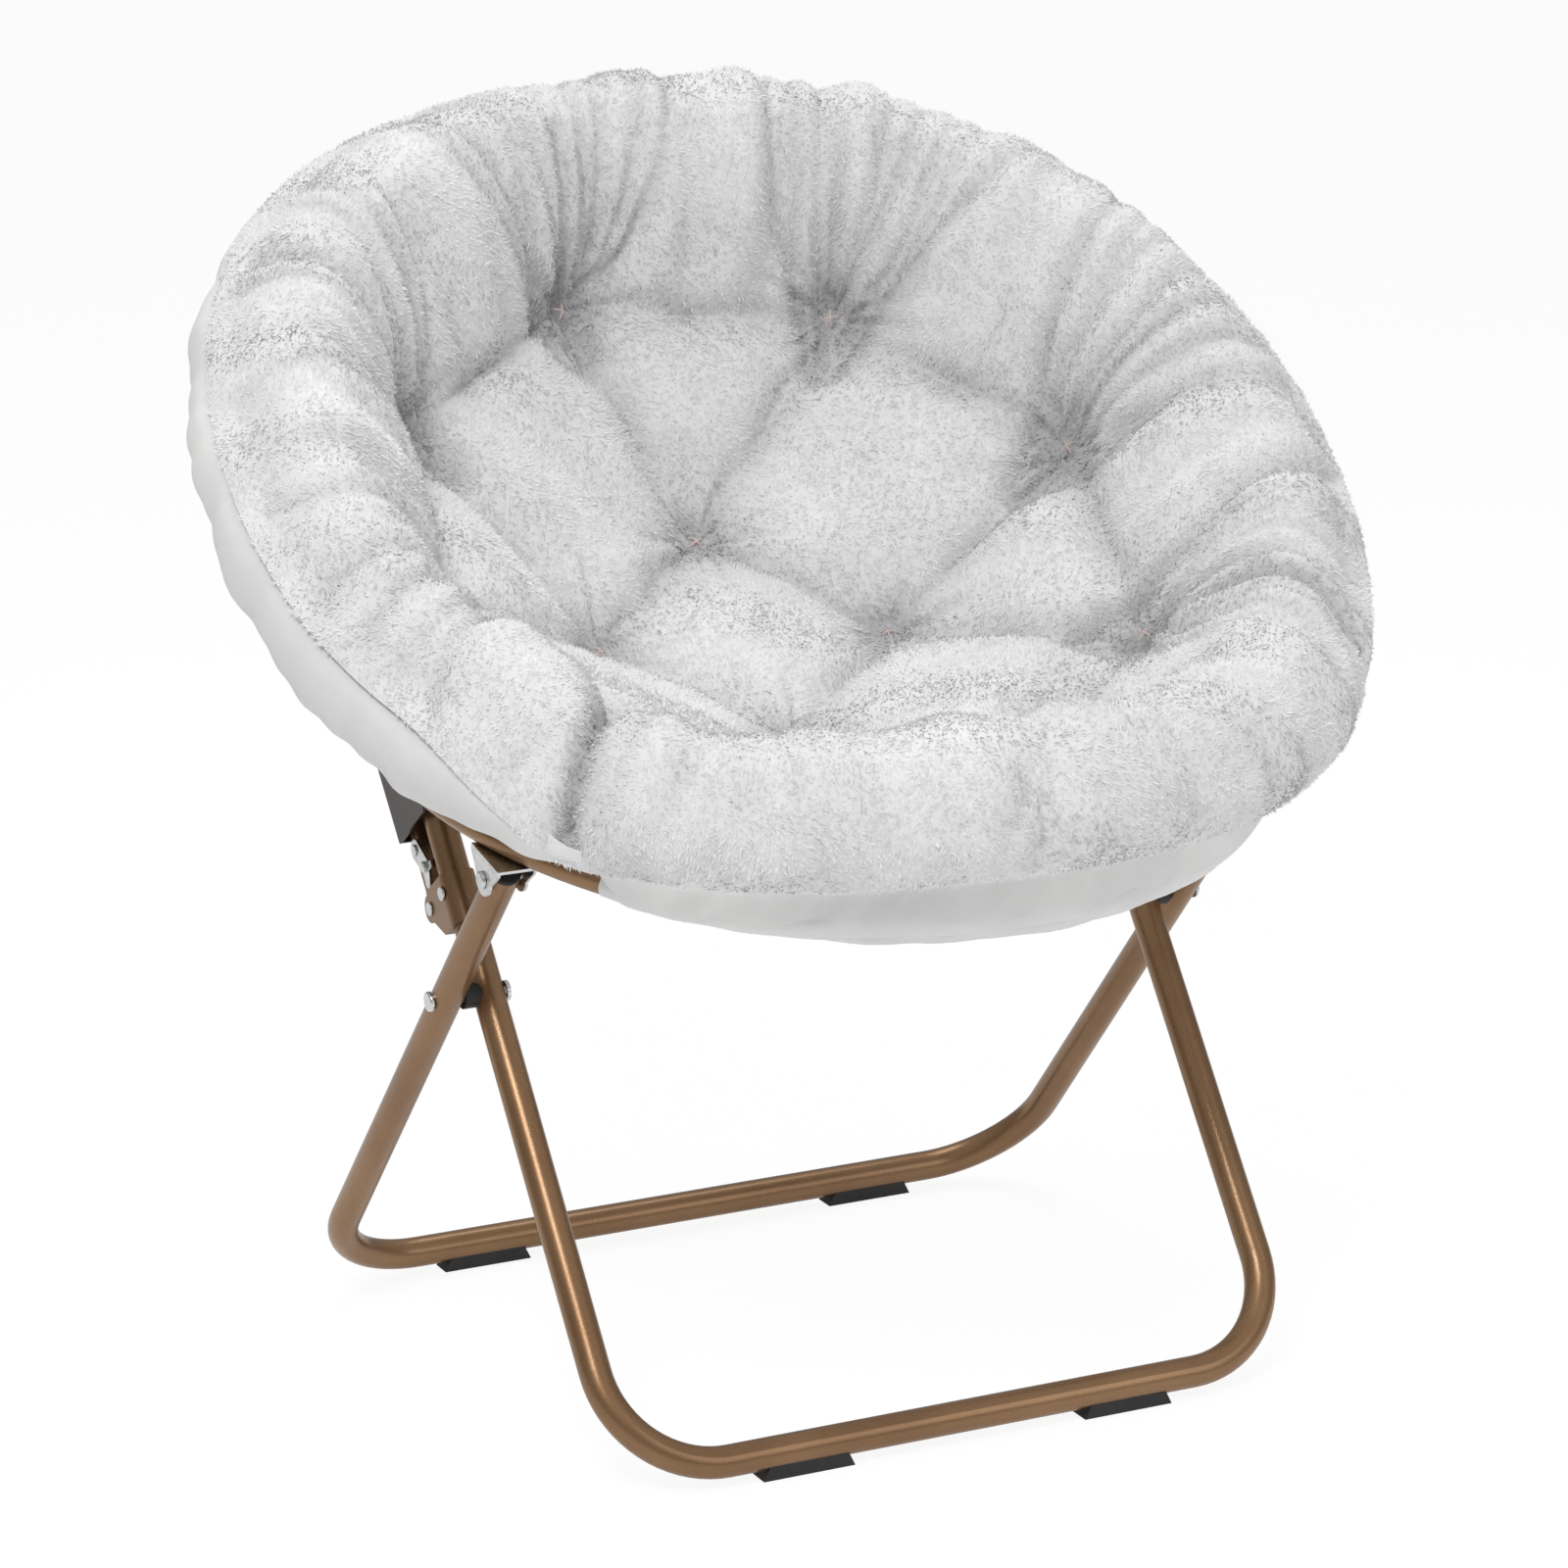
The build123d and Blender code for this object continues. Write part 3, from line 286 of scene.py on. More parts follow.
def in_bowl(r, phi):
    """Point on the hollow of the seat."""
    return place(np.array(phi), np.array(r), np.array(BOWL_UP - math.sqrt(SEAT_R ** 2 - r ** 2)))


def lip_share(phi):
    """1 along the front lip of the seat, 0 elsewhere."""
    return smooth((turn_from(phi, 0) - math.radians(122)) / math.radians(24))


CORNERS = (math.radians(-137), math.radians(128))


def corner_gap(phi):
    """Distance round the rim to the nearest gathered corner of the lip, in radians."""
    return np.min([turn_from(phi, c) for c in CORNERS], axis=0)


def seam_angle(phi):
    """Angle on the roll, in degrees, where the plush ends and the woven shell begins."""
    front = smooth((turn_from(phi, 0) - math.radians(118)) / math.radians(26))
    tie = 16 * np.exp(-(corner_gap(phi) / 0.05) ** 2)
    return 26 + 12 * smooth(-np.sin(phi)) * (1 - front) - 58 * front - tie


ROLL_FROM, LIP_FROM = 128, 34     # degrees on the roll where the seat runs into it, more at the lip
BOWL_OUT = 0.262                  # the hollow leaves the bowl here
BEND_PULL = 0.36                  # pull of the curve between the bowl and the roll


def section(phi, fine):
    """Points of the plush from the seat's middle over the roll, as (r, w, length, roll angle)."""
    rr, rw = rim_rw(phi)
    rows = []
    for R, W, first, last in zip(rr, rw, ROLL_FROM + LIP_FROM * lip_share(phi), seam_angle(phi)):
        a = np.radians(np.linspace(first, last, 60))
        r_in = np.linspace(0, BOWL_OUT, 60)
        w_in = BOWL_UP - np.sqrt(SEAT_R ** 2 - r_in ** 2)
        roll_r, roll_w = R + ROLL * np.cos(a), W + ROLL * np.sin(a)
        p0, p3 = np.array([r_in[-1], w_in[-1]]), np.array([roll_r[0], roll_w[0]])
        d0 = np.array([math.sqrt(SEAT_R ** 2 - r_in[-1] ** 2), r_in[-1]]) / SEAT_R
        d3 = np.array([math.sin(a[0]), -math.cos(a[0])])
        reach = np.linalg.norm(p3 - p0)
        t = np.linspace(0, 1, 40)[1:-1, None]
        p1, p2 = p0 + d0 * reach * BEND_PULL, p3 - d3 * reach * BEND_PULL
        mid = (1 - t) ** 3 * p0 + 3 * (1 - t) ** 2 * t * p1 + 3 * (1 - t) * t ** 2 * p2 + t ** 3 * p3
        path = np.vstack([np.c_[r_in, w_in], mid, np.c_[roll_r, roll_w]])
        angle = np.r_[np.full(len(r_in) + len(mid), first), np.degrees(a)]
        length = np.r_[0, np.cumsum(np.linalg.norm(np.diff(path, axis=0), axis=1))]
        at = fine * length[-1]
        rows.append(np.c_[np.interp(at, length, path[:, 0]), np.interp(at, length, path[:, 1]), at,
                          np.interp(at, length, angle)])
    return np.array(rows)


def grid_mesh(name, points, close_start=True):
    """Closed ring grid: points[phi, step]; the first step is one point if close_start."""
    n, m = points.shape[:2]
    verts = points.reshape(-1, 3)
    faces = []
    for j in range(m - 1):
        for i in range(n):
            k = (i + 1) % n
            faces.append((i * m + j, k * m + j, k * m + j + 1, i * m + j + 1))
    mesh = bpy.data.meshes.new(name)
    mesh.from_pydata(verts.tolist(), [], faces)
    mesh.update()
    obj = put_in_scene(name, mesh)
    if close_start:
        bm = bmesh.new()
        bm.from_mesh(mesh)
        bm.verts.ensure_lookup_table()
        bmesh.ops.remove_doubles(bm, verts=[bm.verts[i * m] for i in range(n)], dist=0.0005)
        bm.to_mesh(mesh)
        bm.free()
    for p in mesh.polygons:
        p.use_smooth = True
    return obj


def seg_distance(p, a, b):
    """Distance of points p to the segment a-b."""
    d = b - a
    t = np.clip(((p - a) @ d) / (d @ d), 0, 1)
    return np.linalg.norm(p - (a + t[..., None] * d), axis=-1)


def waves(phi, cycles, seed, count=5):
    """Smooth irregular ripple along the rim."""
    g = np.random.default_rng(seed)
    total = np.zeros_like(phi)
    for _ in range(count):
        total += np.cos(int(cycles * g.uniform(0.7, 1.35)) * phi + g.uniform(0, 6.3)) * g.uniform(0.5, 1)
    return total / count * 1.6


PILLOW_UP, PILLOW_REACH = 0.037, 0.043              # the stuffing rises between the tufts
SEAM_KEEP, SEAM_WIDE = 0.7, 0.0145                  # the sewn seams hold it down
FOLD_DEEP, FOLD_WIDE = 0.0165, 0.0060               # folds from a tuft to the rim
LIP_UP, LIP_BEHIND = 0.015, 0.010                   # the front lip stands up, the seat sinks behind
CORNER_DEEP, CORNER_WIDE = 1.35, 0.011              # the gathered corners of the lip
FAN_DEEP = 0.0027                                   # small folds round a tuft
N_PHI, N_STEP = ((640, 150))
phi = np.linspace(0, 2 * math.pi, N_PHI, endpoint=False)
fine = np.linspace(0.0, 1.0, N_STEP)
rows = section(phi, fine)
PHI = phi[:, None] + 0 * rows[..., 0]
base = place(PHI, rows[..., 0], rows[..., 1])

# normals of the base, pointing out of the stuffing
du = np.roll(base, -1, 0) - np.roll(base, 1, 0)
dv = np.gradient(base, axis=1)
nrm = np.cross(du, dv)
nrm /= np.maximum(np.linalg.norm(nrm, axis=-1, keepdims=True), 1e-9)
nrm[:, 0] = UP

outer = [in_bowl(r, a) for r, a in TUFTS_OUT]
inner = [in_bowl(r, a) for r, a in TUFTS_IN]
creases = [(outer[i], outer[i - 1]) for i in range(8)] + [(inner[i], inner[i - 1]) for i in range(4)]
creases += [(inner[i], outer[2 * i]) for i in range(4)] + [(inner[i], outer[2 * i - 1]) for i in range(4)]

flat = base.reshape(-1, 3)
d_tuft = np.min([np.linalg.norm(flat - t, axis=1) for t in outer + inner], axis=0)
lift = PILLOW_UP * (1 - np.exp(-(d_tuft / PILLOW_REACH) ** 1.2))
keep = np.ones(len(flat))
for a, b in creases:
    sag = 0.5 * (a + b)
    out = BOWL_MID - sag
    # the crease bows with the bowl: distance to a two-piece line through its sunken middle
    mid = BOWL_MID - out / np.linalg.norm(out) * SEAT_R
    d = np.minimum(seg_distance(flat, a, mid), seg_distance(flat, mid, b))
    keep = np.minimum(keep, 1 - SEAM_KEEP * np.exp(-(d / SEAM_WIDE) ** 1.05))
lift = (lift * keep).reshape(base.shape[:2])
lift *= smooth((rows[..., 3] - 58) / 72)
lip = lip_share(PHI)
lift *= 1 - 0.9 * lip * smooth((rows[..., 0] - 0.225) / 0.06)

# the outer band: folds fan from each tuft over the roll to the seam
along = rows[..., 2]
reach = along[:, -1:]
r_now = rows[..., 0]
INSIDE = 70                       # steps that surely lie inside the roll
tuft_at = np.array([np.interp(TUFTS_OUT[0][0], r, a)
                    for r, a in zip(r_now[:, :INSIDE], along[:, :INSIDE])])[:, None]
t = np.clip((along - tuft_at) / (reach - tuft_at), 0, 1)
g = np.random.default_rng(17)
valley = np.zeros_like(t)
for _, a0 in TUFTS_OUT:
    for k in range(-4, 5):
        end = math.radians(5.0 * k + g.uniform(-1.4, 1.4))
        way = a0 + end * (0.18 * t + 0.82 * t ** 0.75) + 0.018 * np.sin(7 * t + g.uniform(0, 6))
        d = turn_from(PHI, way) * r_now
        deep = g.uniform(0.55, 1.0) * (1.25 if k == 0 else 1.0)
        stop = g.uniform(0.55, 1.15)
        deep = deep * smooth(t / 0.07) * (1 - smooth((t - stop) / 0.3)) * (1 - 0.45 * t)
        valley = np.maximum(valley, deep * np.exp(-(d / (FOLD_WIDE + FOLD_WIDE * t)) ** 1.25))
valley *= 1 - 0.62 * lip
gap = corner_gap(PHI + 0.10 * np.sign(np.sin(PHI)) * (1 - t)) * r_now
corner = np.exp(-(gap / CORNER_WIDE) ** 1.3) * smooth(t / 0.25)
valley = np.maximum(valley, CORNER_DEEP * corner)
lift -= FOLD_DEEP * valley * smooth((1 - t) / 0.06)
lift += LIP_UP * lip * np.exp(-((t - 0.5) / 0.2) ** 2) * smooth(gap / 0.03)
behind = lip * np.exp(-(((along - tuft_at) - 0.004) / 0.026) ** 2)
lift -= LIP_BEHIND * behind
ripple = waves(PHI + 0.1 * t, 50, 3) * 0.0026 + waves(PHI, 24, 5) * 0.0042
lift += ripple * smooth(t / 0.4) * smooth((1 - t) / 0.1)
shade = valley * smooth((1 - t) / 0.1) + 0.6 * behind
# fans of small folds close round each tuft
for k, tuft in enumerate(outer + inner):
    e1 = np.cross(UP, tuft - RIM)
    e1 /= np.linalg.norm(e1)
    e2 = np.cross(e1, BOWL_MID - tuft)
    e2 /= np.linalg.norm(e2)
    q = flat - tuft
    d = np.linalg.norm(q, axis=1)
    ang = np.arctan2(q @ e2, q @ e1)
    g = np.random.default_rng(30 + k)
    fan = np.zeros(len(flat))
    for c in (7, 11, 16):
        fan += np.cos(c * ang + g.uniform(0, 6.3)) * g.uniform(0.6, 1)
    size = FAN_DEEP * np.clip(d / 0.02, 0, 1) * np.exp(-(d / 0.05) ** 1.6)
    lift += (fan * size).reshape(lift.shape)

points = base + nrm * lift[..., None]
cushion = grid_mesh("seat_cushion_plush", points)

# painted shade: how deep each point lies in a crease, a fold, a sewn seam, a tuft's dimple or behind the lip,
# handed to the material to darken the plush there
painted_shade = np.clip(0.7 * shade + 0.6 * (1 - keep.reshape(lift.shape)) * smooth((rows[..., 3] - 90) / 40)
               + 1.1 * np.exp(-(d_tuft.reshape(lift.shape) / 0.022) ** 1.5), 0, 1)
cushion.data.materials.append(PLUSH)
finder = kdtree.KDTree(len(points.reshape(-1, 3)))
for index, point in enumerate(points.reshape(-1, 3)):
    finder.insert(point, index)
finder.balance()
painted_shade_flat = painted_shade.reshape(-1)
painted_shade_attribute = cushion.data.attributes.new("crease_shade", "FLOAT", "POINT")
for vertex in cushion.data.vertices:
    painted_shade_attribute.data[vertex.index].value = float(painted_shade_flat[finder.find(vertex.co)[1]])

# ---------------------------------------------------------------- woven shell: skirt, sleeves, under cover
FRONT_DIR = np.array([0.0, -math.cos(FRONT_TILT), -math.sin(FRONT_TILT)])
FRONT_UP = np.array([0.0, -math.sin(FRONT_TILT), math.cos(FRONT_TILT)])
REAR_UP = np.array([0.0, math.cos(RISE), math.sin(RISE)])
STUB_END = HINGE + Y * STUB_L
BEND_END = STUB_END + STUB_BEND * np.array([0, math.sin(RISE), 1 - math.cos(RISE)])
ARC_FOOT = BEND_END + REAR_UP * SIDE_L
ARC_N, BEND_N, STUB_N = 60, 14, 8                   # points on the hoops' lines
STUB_FROM = 0.085


def rear_line():
    """Right half of the rear hoop from the top down to the hinge, with a mark where it is bare."""
    a = np.linspace(0, math.pi / 2, ARC_N)[:, None]
    top = ARC_FOOT + HOOP_IN_R * (np.sin(a) * X + np.cos(a) * REAR_UP)
    b = np.linspace(RISE, 0, BEND_N)[:, None]
    bend = STUB_END + X * HOOP_IN_R + STUB_BEND * (np.sin(b) * Y + (1 - np.cos(b)) * Z)
    stub = HINGE + X * HOOP_IN_R + np.linspace(STUB_FROM, 0.0, STUB_N)[:, None] * Y
    line = np.vstack([top, bend, stub])
    bare = np.r_[np.zeros(ARC_N), np.degrees(b[:, 0]) < REAR_BARE, np.ones(STUB_N)]
    return line, bare


def front_line():
    """Right half of the front hoop from the hinge to the front."""
    a = np.linspace(math.pi / 2, 0, ARC_N)[:, None]
    line = HINGE + HOOP_OUT_R * (np.sin(a) * X + np.cos(a) * FRONT_DIR)
    return line, (np.degrees(a[:, 0]) > 90 - FRONT_BARE).astype(float)


def around(phi):
    """Hoop centre line and bare mark for each angle round the rim."""
    (r_line, r_bare), (f_line, f_bare) = rear_line(), front_line()
    line, bare = np.vstack([r_line, f_line]), np.r_[r_bare, f_bare]
    rel = line - RIM
    az = np.maximum.accumulate(np.arctan2(rel[:, 0], rel @ BACK) + np.arange(len(line)) * 1e-6)
    fold = turn_from(phi, 0)
    found = np.stack([np.interp(fold, az, line[:, k]) for k in range(3)], axis=-1)
    found[:, 0] *= np.sign(np.sin(phi))
    return found, np.interp(fold, az, bare)


def ring_smooth(values, width):
    """Values round a closed ring, each one averaged with its neighbours."""
    k = np.hanning(2 * width + 3)[1:-1]
    k /= k.sum()
    pad = np.concatenate([values[-width:], values, values[:width]])
    return np.stack([np.convolve(pad[:, c], k, "valid") for c in range(pad.shape[1])], axis=1)


S_PHI = 560                       # points of the skirt round the rim
SKIRT_FROM, SKIRT_LEAVES = 20, -58                  # degrees on the roll, past the plush's edge
SKIRT_UNDER = 0.0012              # the skirt lies this far inside the plush
SKIRT_TUCK = 0.006                # and further at its upper edge
SKIRT_PULL = 0.3                  # pull of the curve between the roll and the hoop
s_phi = np.linspace(0, 2 * math.pi, S_PHI, endpoint=False)
hoop, bare = around(s_phi)
bare = ring_smooth(bare[:, None], 6)[:, 0]
hoop_soft = ring_smooth(hoop, 6)
er = np.sin(s_phi)[:, None] * X + np.cos(s_phi)[:, None] * BACK
centre = place(s_phi, *rim_rw(s_phi))
start_a = np.radians(seam_angle(s_phi) + SKIRT_FROM)
leave_a = np.radians(SKIRT_LEAVES)
skirt_rows = []
for k in np.linspace(0, 1, 18):
    a = start_a + (leave_a - start_a) * k
    rr = ROLL - SKIRT_UNDER - SKIRT_TUCK * max(0.0, 1 - 3.4 * k)
    skirt_rows.append(centre + rr * (np.cos(a)[:, None] * er + np.sin(a)[:, None] * UP))
p0 = skirt_rows[-1]
d = hoop_soft - p0
d_len = np.linalg.norm(d, axis=1, keepdims=True)
d /= d_len
out = er - (er * d).sum(1, keepdims=True) * d
out /= np.linalg.norm(out, axis=1, keepdims=True)
# over a sleeve the skirt ends outside the hoop, beside the bare tube it ends inside
side = 1 - 2.15 * bare[:, None]
p3 = hoop_soft + out * SLEEVE * 1.04 * side
t0 = skirt_rows[-1] - skirt_rows[-2]
t0 /= np.linalg.norm(t0, axis=1, keepdims=True)
p1 = p0 + t0 * d_len * SKIRT_PULL
p2 = p3 - d * d_len * SKIRT_PULL
for t in np.linspace(0, 1, 26)[1:]:
    skirt_rows.append((1 - t) ** 3 * p0 + 3 * (1 - t) ** 2 * t * p1 + 3 * (1 - t) * t ** 2 * p2 + t ** 3 * p3)
skirt_pts = np.stack(skirt_rows, axis=1)
u = np.linspace(0, 1, skirt_pts.shape[1])[None, :]
fall = smooth(u / 0.12) * smooth((1 - u) / 0.35)
gather = (waves(s_phi[:, None] + 0.12 * u, 34, 11) * 0.0032
          + waves(s_phi[:, None] - 0.1 * u, 71, 12) * 0.0016)
skirt_pts = skirt_pts + (out[:, None, :] * (gather * fall)[..., None])
skirt = grid_mesh("seat_skirt_cloth", skirt_pts, close_start=False)
skirt.data.materials.append(SHELL)


RUMPLE, PUCKER = 0.0005, 0.0022


def tube_cloth(name, line, closed_dir):
    """Sleeve of cloth round a hoop, slightly rumpled, puckered at its ends."""
    n, m = len(line), 26
    tan = np.gradient(line, axis=0)
    tan /= np.linalg.norm(tan, axis=1, keepdims=True)
    e1 = closed_dir - (tan @ closed_dir)[:, None] * tan
    e1 /= np.linalg.norm(e1, axis=1, keepdims=True)
    e2 = np.cross(tan, e1)
    a = np.linspace(0, 2 * math.pi, m, endpoint=False)
    g = np.random.default_rng(21)
    rough = sum(g.uniform(0.3, 1) * np.cos(c * a[None, :] + g.uniform(0, 6) + np.linspace(0, w, n)[:, None])
                for c, w in ((2, 31), (3, 57), (5, 83)))
    k = np.minimum(np.arange(n), np.arange(n)[::-1])[:, None] / 3.0
    radius = SLEEVE + RUMPLE * rough - PUCKER * np.clip(1 - k, 0, 1)
    pts = line[:, None] + radius[..., None] * (np.cos(a)[None, :, None] * e1[:, None]
                                               + np.sin(a)[None, :, None] * e2[:, None])
    obj = grid_mesh(name, np.swapaxes(pts, 0, 1), close_start=False)
    obj.data.materials.append(SHELL)
    return obj


half, mark = rear_line()
half = half[mark < 0.5]
whole = np.vstack([half[::-1] * [-1, 1, 1], half[1:]])
rear_sleeve = tube_cloth("rear_sleeve_cloth", whole, UP)
half, mark = front_line()
half = half[mark < 0.5]
whole = np.vstack([half * [-1, 1, 1], half[::-1][1:]])
front_sleeve = tube_cloth("front_sleeve_cloth", whole, UP)

BALL = HINGE + FRONT_UP * math.sqrt(COVER_R ** 2 - COVER_EDGE ** 2)
COVER_BELOW = 0.008               # the cover meets a hoop this far below its middle
COVER_SIDE, COVER_FLARE = 0.234, 0.08               # half width beside the hinge, more at a sleeve
COVER_BLEND = 0.25                # share of the way in which the cover comes to its ball
low = np.array([0.0, 0.12, -1.0])
low /= np.linalg.norm(low)
edge = hoop_soft + (BALL - hoop_soft) / np.linalg.norm(BALL - hoop_soft, axis=1, keepdims=True) * -COVER_BELOW
limit = COVER_SIDE + (1 - bare) * COVER_FLARE
edge[:, 0] = np.clip(edge[:, 0], -limit, limit)
spoke = edge - BALL
far = np.linalg.norm(spoke, axis=1)
spoke /= far[:, None]
far = np.where(bare > 0.4, COVER_MID, far)
far = ring_smooth(far[:, None], 5)[:, 0]
turn_all = np.arccos(np.clip(spoke @ low, -1, 1))
cover_rows = []
for t in np.linspace(0, 1, 44):
    w0, w1 = np.sin((1 - t) * turn_all) / np.sin(turn_all), np.sin(t * turn_all) / np.sin(turn_all)
    direction = w0[:, None] * spoke + w1[:, None] * low
    radius = far + (COVER_MID - far) * smooth(np.array(t / COVER_BLEND))
    slack = waves(s_phi, 26, 40) * 0.0035 + waves(s_phi, 60, 41) * 0.0014
    slack = slack * (math.exp(-t / 0.22)) * smooth(t / 0.05)
    cover_rows.append(BALL + direction * (radius + slack)[:, None])
cover_pts = np.stack(cover_rows[::-1], axis=1)
cover = grid_mesh("under_cover_cloth", cover_pts)
cover.data.materials.append(SHELL)


# ---------------------------------------------------------------- pile of the plush
NAP = ((60, 23, 41), (31, 57, 22), (25, 44, 62))    # waves that turn the nap over the seat
BLADE_HALF, BLADE_SUNK = 0.0009, 0.0006             # half width of a blade, root under the surface
BLADE_RISE = (24, 52)                               # degrees from the surface


def read_points(mesh, name):
    """One vector for each vertex of a mesh."""
    values = np.empty(len(mesh.vertices) * 3)
    mesh.vertices.foreach_get(name, values)
    return values.reshape(-1, 3)


def pile(name, source, count, length, seed):
    """Short tapering blades over the plush, leaning with the nap."""
    g = np.random.default_rng(seed)
    mesh = source.data
    mesh.calc_loop_triangles()
    tri = np.empty(len(mesh.loop_triangles) * 3, np.int32)
    mesh.loop_triangles.foreach_get("vertices", tri)
    tri = tri.reshape(-1, 3)
    co, vn = read_points(mesh, "co"), read_points(mesh, "normal")
    a, b, c = co[tri[:, 0]], co[tri[:, 1]], co[tri[:, 2]]
    size = np.linalg.norm(np.cross(b - a, c - a), axis=1)
    pick = g.choice(len(tri), count, p=size / size.sum())
    r1, r2 = np.sqrt(g.random(count)), g.random(count)
    wa, wb, wc = (1 - r1)[:, None], (r1 * (1 - r2))[:, None], (r1 * r2)[:, None]
    root = wa * a[pick] + wb * b[pick] + wc * c[pick]
    n = wa * vn[tri[pick, 0]] + wb * vn[tri[pick, 1]] + wc * vn[tri[pick, 2]]
    n /= np.linalg.norm(n, axis=1, keepdims=True)
    lean = g.normal(size=(count, 3))
    nap = np.stack([np.sin(root @ np.array(v) + k) for k, v in enumerate(NAP)], axis=1)
    comb = 0.55 * lean + 0.8 * nap
    comb -= (comb * n).sum(1, keepdims=True) * n
    comb /= np.linalg.norm(comb, axis=1, keepdims=True)
    rise = np.radians(g.uniform(*BLADE_RISE, count))[:, None]
    way = np.sin(rise) * n + np.cos(rise) * comb
    flat_side = np.cross(n, comb)
    flat_side /= np.linalg.norm(flat_side, axis=1, keepdims=True)
    tall = length * g.uniform(0.6, 1.25, count)[:, None]
    wide = BLADE_HALF * g.uniform(0.7, 1.3, count)[:, None]
    root = root - n * BLADE_SUNK
    # each blade takes the painted crease shade of the plush beneath it
    crease_shade = np.empty(len(mesh.vertices))
    mesh.attributes["crease_shade"].data.foreach_get("value", crease_shade)
    painted_shade_at = crease_shade[tri[pick, 0]]
    verts = np.stack([root + flat_side * wide, root - flat_side * wide, root + way * tall], axis=1)
    blades = bpy.data.meshes.new(name)
    blades.from_pydata(verts.reshape(-1, 3).tolist(), [], np.arange(3 * count).reshape(-1, 3).tolist())
    blades.update()
    blades.attributes.new("crease_shade", "FLOAT", "POINT").data.foreach_set("value", np.repeat(painted_shade_at, 3))
    obj = put_in_scene(name, blades)
    obj.data.materials.append(PILE)
    return obj


fur = pile("seat_cushion_pile", cushion, 190000, 0.0042, 5)


THREAD_R, THREAD_HALF = 0.0006, 0.006               # radius and half length of a thread
THREAD_UP, THREAD_DIP = 0.0042, 0.003               # its middle over the tuft, its ends below that
THREAD_N, THREAD_SIDES = 9, 6


def stitches(name):
    """Short crossed threads that hold each tuft."""
    verts, faces = [], []
    for k, tuft in enumerate(outer + inner):
        up = BOWL_MID - tuft
        up /= np.linalg.norm(up)
        e1 = np.cross(UP, tuft - RIM)
        e1 /= np.linalg.norm(e1)
        for turn in (0.5, 1.9):
            way = math.cos(turn + k) * e1 + math.sin(turn + k) * np.cross(up, e1)
            across = np.cross(up, way)
            first = len(verts)
            for along_it in np.linspace(-1, 1, THREAD_N):
                mid = (tuft + way * THREAD_HALF * along_it
                       + up * (THREAD_UP - THREAD_DIP * along_it * along_it))
                for b in np.linspace(0, 2 * math.pi, THREAD_SIDES, endpoint=False):
                    verts.append(mid + THREAD_R * (math.cos(b) * up + math.sin(b) * across))
            for q in range(THREAD_N - 1):
                low_ring, high_ring = first + q * THREAD_SIDES, first + (q + 1) * THREAD_SIDES
                for b in range(THREAD_SIDES):
                    c = (b + 1) % THREAD_SIDES
                    faces.append([low_ring + b, low_ring + c, high_ring + c, high_ring + b])
    mesh = bpy.data.meshes.new(name)
    mesh.from_pydata([v.tolist() for v in verts], [], faces)
    mesh.update()
    obj = put_in_scene(name, mesh)
    thread = Nodes("thread")
    twist = thread.noise(thread.coords(), 300.0)
    thread.join(thread.ramp(twist, [(0.3, srgb(206, 176, 172)), (0.7, srgb(226, 204, 200))]),
                thread.bsdf.inputs["Base Color"])
    thread.put(Roughness=0.7)
    obj.data.materials.append(thread.mat)
    return obj


thread_piece = stitches("tuft_stitches")

# ---------------------------------------------------------------- camera, light, floor
TARGET = Vector((0, PIVOT_Y, 0.264))
AZ, EL, DIST = math.radians(-26.66), math.radians(17.71), 3.862
PHOTO_SIDE = 1600                 # pixels of the photo's sides
FOCAL, SHIFT_ACROSS, SHIFT_UP = 5667.4, -40.57, 200.38      # in its pixels
SENSOR = 36.0                     # millimetres
cam_data = bpy.data.cameras.new("camera")
cam = put_in_scene("camera", cam_data)
back = Vector((math.sin(AZ) * math.cos(EL), -math.cos(AZ) * math.cos(EL), math.sin(EL)))
cam.location = TARGET + back * DIST
cam.rotation_mode = "QUATERNION"
cam.rotation_quaternion = (-back).to_track_quat("-Z", "Y")
cam_data.sensor_width = SENSOR
cam_data.lens = FOCAL / PHOTO_SIDE * SENSOR
cam_data.shift_x = SHIFT_ACROSS / PHOTO_SIDE
cam_data.shift_y = SHIFT_UP / PHOTO_SIDE
bpy.context.scene.camera = cam

FLOOR_HALF = 30
FLOOR_GLOW, GLOW_MORE = 0.32, 0.5                   # share of plain white light, more for the camera
floor_mesh = bpy.data.meshes.new("floor")
floor_mesh.from_pydata([(x * FLOOR_HALF, y * FLOOR_HALF, 0) for x, y in ((-1, -1), (1, -1), (1, 1), (-1, 1))],
                       [], [(0, 1, 2, 3)])
floor = put_in_scene("floor", floor_mesh)
fl = Nodes("floor")
stain = fl.noise(fl.coords(), 3.0)
fl.join(fl.ramp(stain, [(0.3, (0.93, 0.93, 0.93, 1)), (0.7, (0.95, 0.95, 0.95, 1))]),
        fl.bsdf.inputs["Base Color"])
fl.put(Roughness=0.35)
path = fl.add("ShaderNodeLightPath")
shine = fl.add("ShaderNodeEmission", Color=(1, 1, 1, 1), Strength=1.08)
glow = fl.add("ShaderNodeMixShader")
seen = fl.add("ShaderNodeMath", operation="MULTIPLY_ADD")
fl.join(path.outputs["Is Camera Ray"], seen.inputs[0])
seen.inputs[1].default_value = GLOW_MORE
seen.inputs[2].default_value = FLOOR_GLOW
fl.join(seen.outputs[0], glow.inputs[0])
fl.join(fl.bsdf.outputs[0], glow.inputs[1])
fl.join(shine.outputs[0], glow.inputs[2])
fl.join(glow.outputs[0], fl.tree.nodes["Material Output"].inputs["Surface"])
floor_mesh.materials.append(fl.mat)

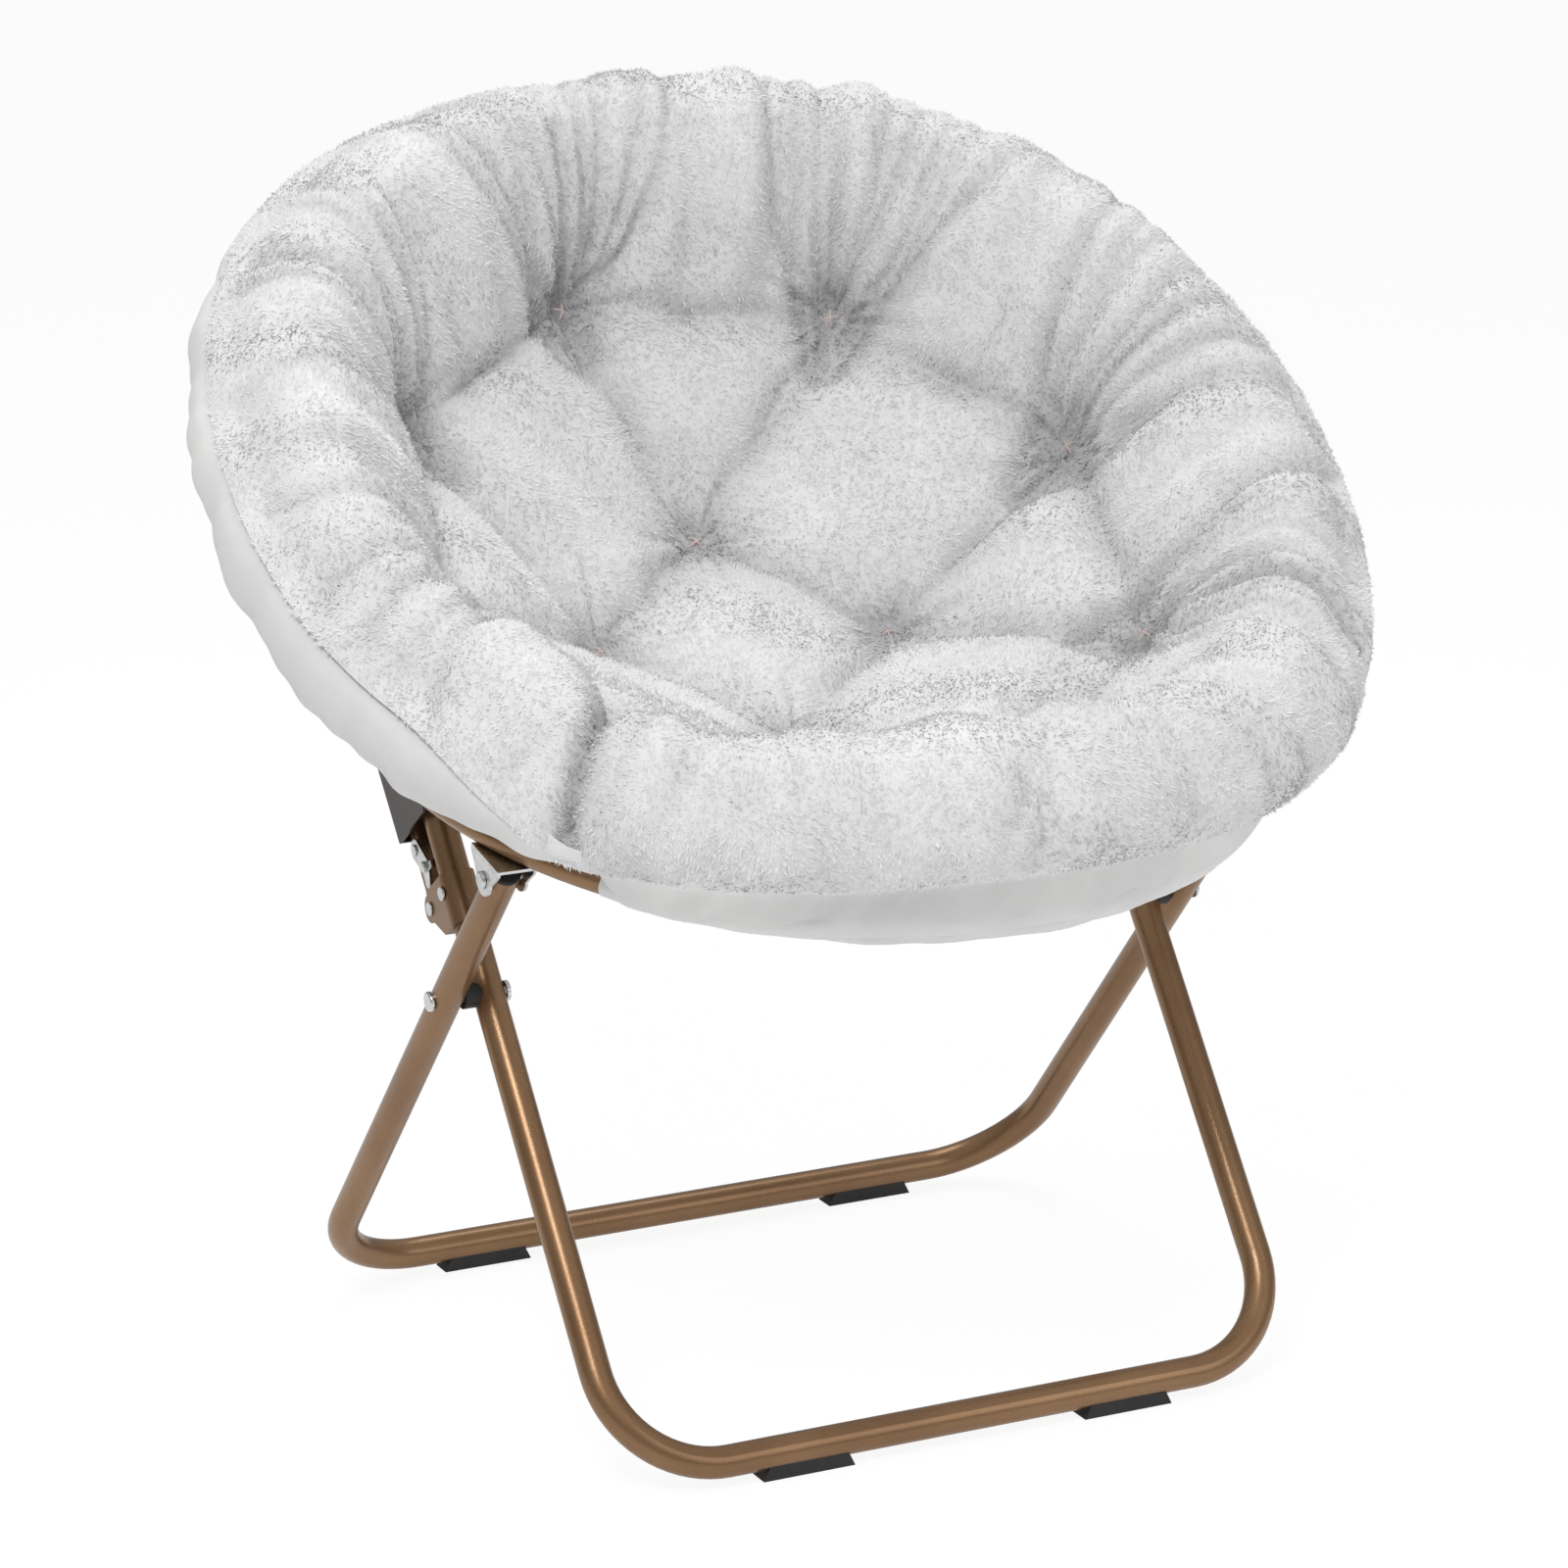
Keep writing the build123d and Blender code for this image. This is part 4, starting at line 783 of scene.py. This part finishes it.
world = bpy.data.worlds.new("studio")
bpy.context.scene.world = world
world.use_nodes = True
sky = world.node_tree
light = sky.nodes["Background"]
light.inputs["Color"].default_value = (1, 1, 1, 1)
where = sky.nodes.new("ShaderNodeTexCoord")
split = sky.nodes.new("ShaderNodeSeparateXYZ")
height = sky.nodes.new("ShaderNodeMapRange")
for key, value in (("From Min", -0.3), ("From Max", 1.0), ("To Min", 0.1), ("To Max", 0.62)):
    height.inputs[key].default_value = value
seen_white = sky.nodes.new("ShaderNodeBackground")
seen_white.inputs["Color"].default_value = (1, 1, 1, 1)
seen_white.inputs["Strength"].default_value = 1.0
mixer = sky.nodes.new("ShaderNodeMixShader")
ray = sky.nodes.new("ShaderNodeLightPath")
for out_socket, in_socket in (
    (where.outputs["Generated"], split.inputs[0]),
    (split.outputs["Z"], height.inputs["Value"]),
    (height.outputs[0], light.inputs["Strength"]),
    (ray.outputs["Is Camera Ray"], mixer.inputs[0]),
    (light.outputs[0], mixer.inputs[1]),
    (seen_white.outputs[0], mixer.inputs[2]),
    (mixer.outputs[0], sky.nodes["World Output"].inputs["Surface"]),
):
    sky.links.new(out_socket, in_socket)


LIT = (0, 0, 0.5)                 # the lamps look here


def lamp(name, spot, size, power):
    """Square lamp that faces the chair."""
    data = bpy.data.lights.new(name, "AREA")
    data.size, data.energy = size, power
    obj = put_in_scene(name, data)
    obj.location = spot
    obj.rotation_mode = "QUATERNION"
    obj.rotation_quaternion = (Vector(LIT) - Vector(spot)).to_track_quat("-Z", "Y")


lamp("key", (-1.4, -1.5, 2.6), 1.0, 37)
lamp("fill", (1.2, -2.6, 1.5), 1.6, 12)
lamp("top", (0.5, 0.9, 2.8), 1.4, 19)

bpy.context.scene.view_settings.view_transform = "Standard"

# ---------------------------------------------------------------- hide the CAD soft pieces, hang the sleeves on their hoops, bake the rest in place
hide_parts("seat_cushion")
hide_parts("front_sleeve")
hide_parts("rear_sleeve")
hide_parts("under_cover_front", "under_cover_rear")
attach(front_sleeve, "front_hoop_body")
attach(rear_sleeve, "rear_hoop_body")
for piece in (cushion, fur, thread_piece, skirt, cover):
    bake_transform(piece)
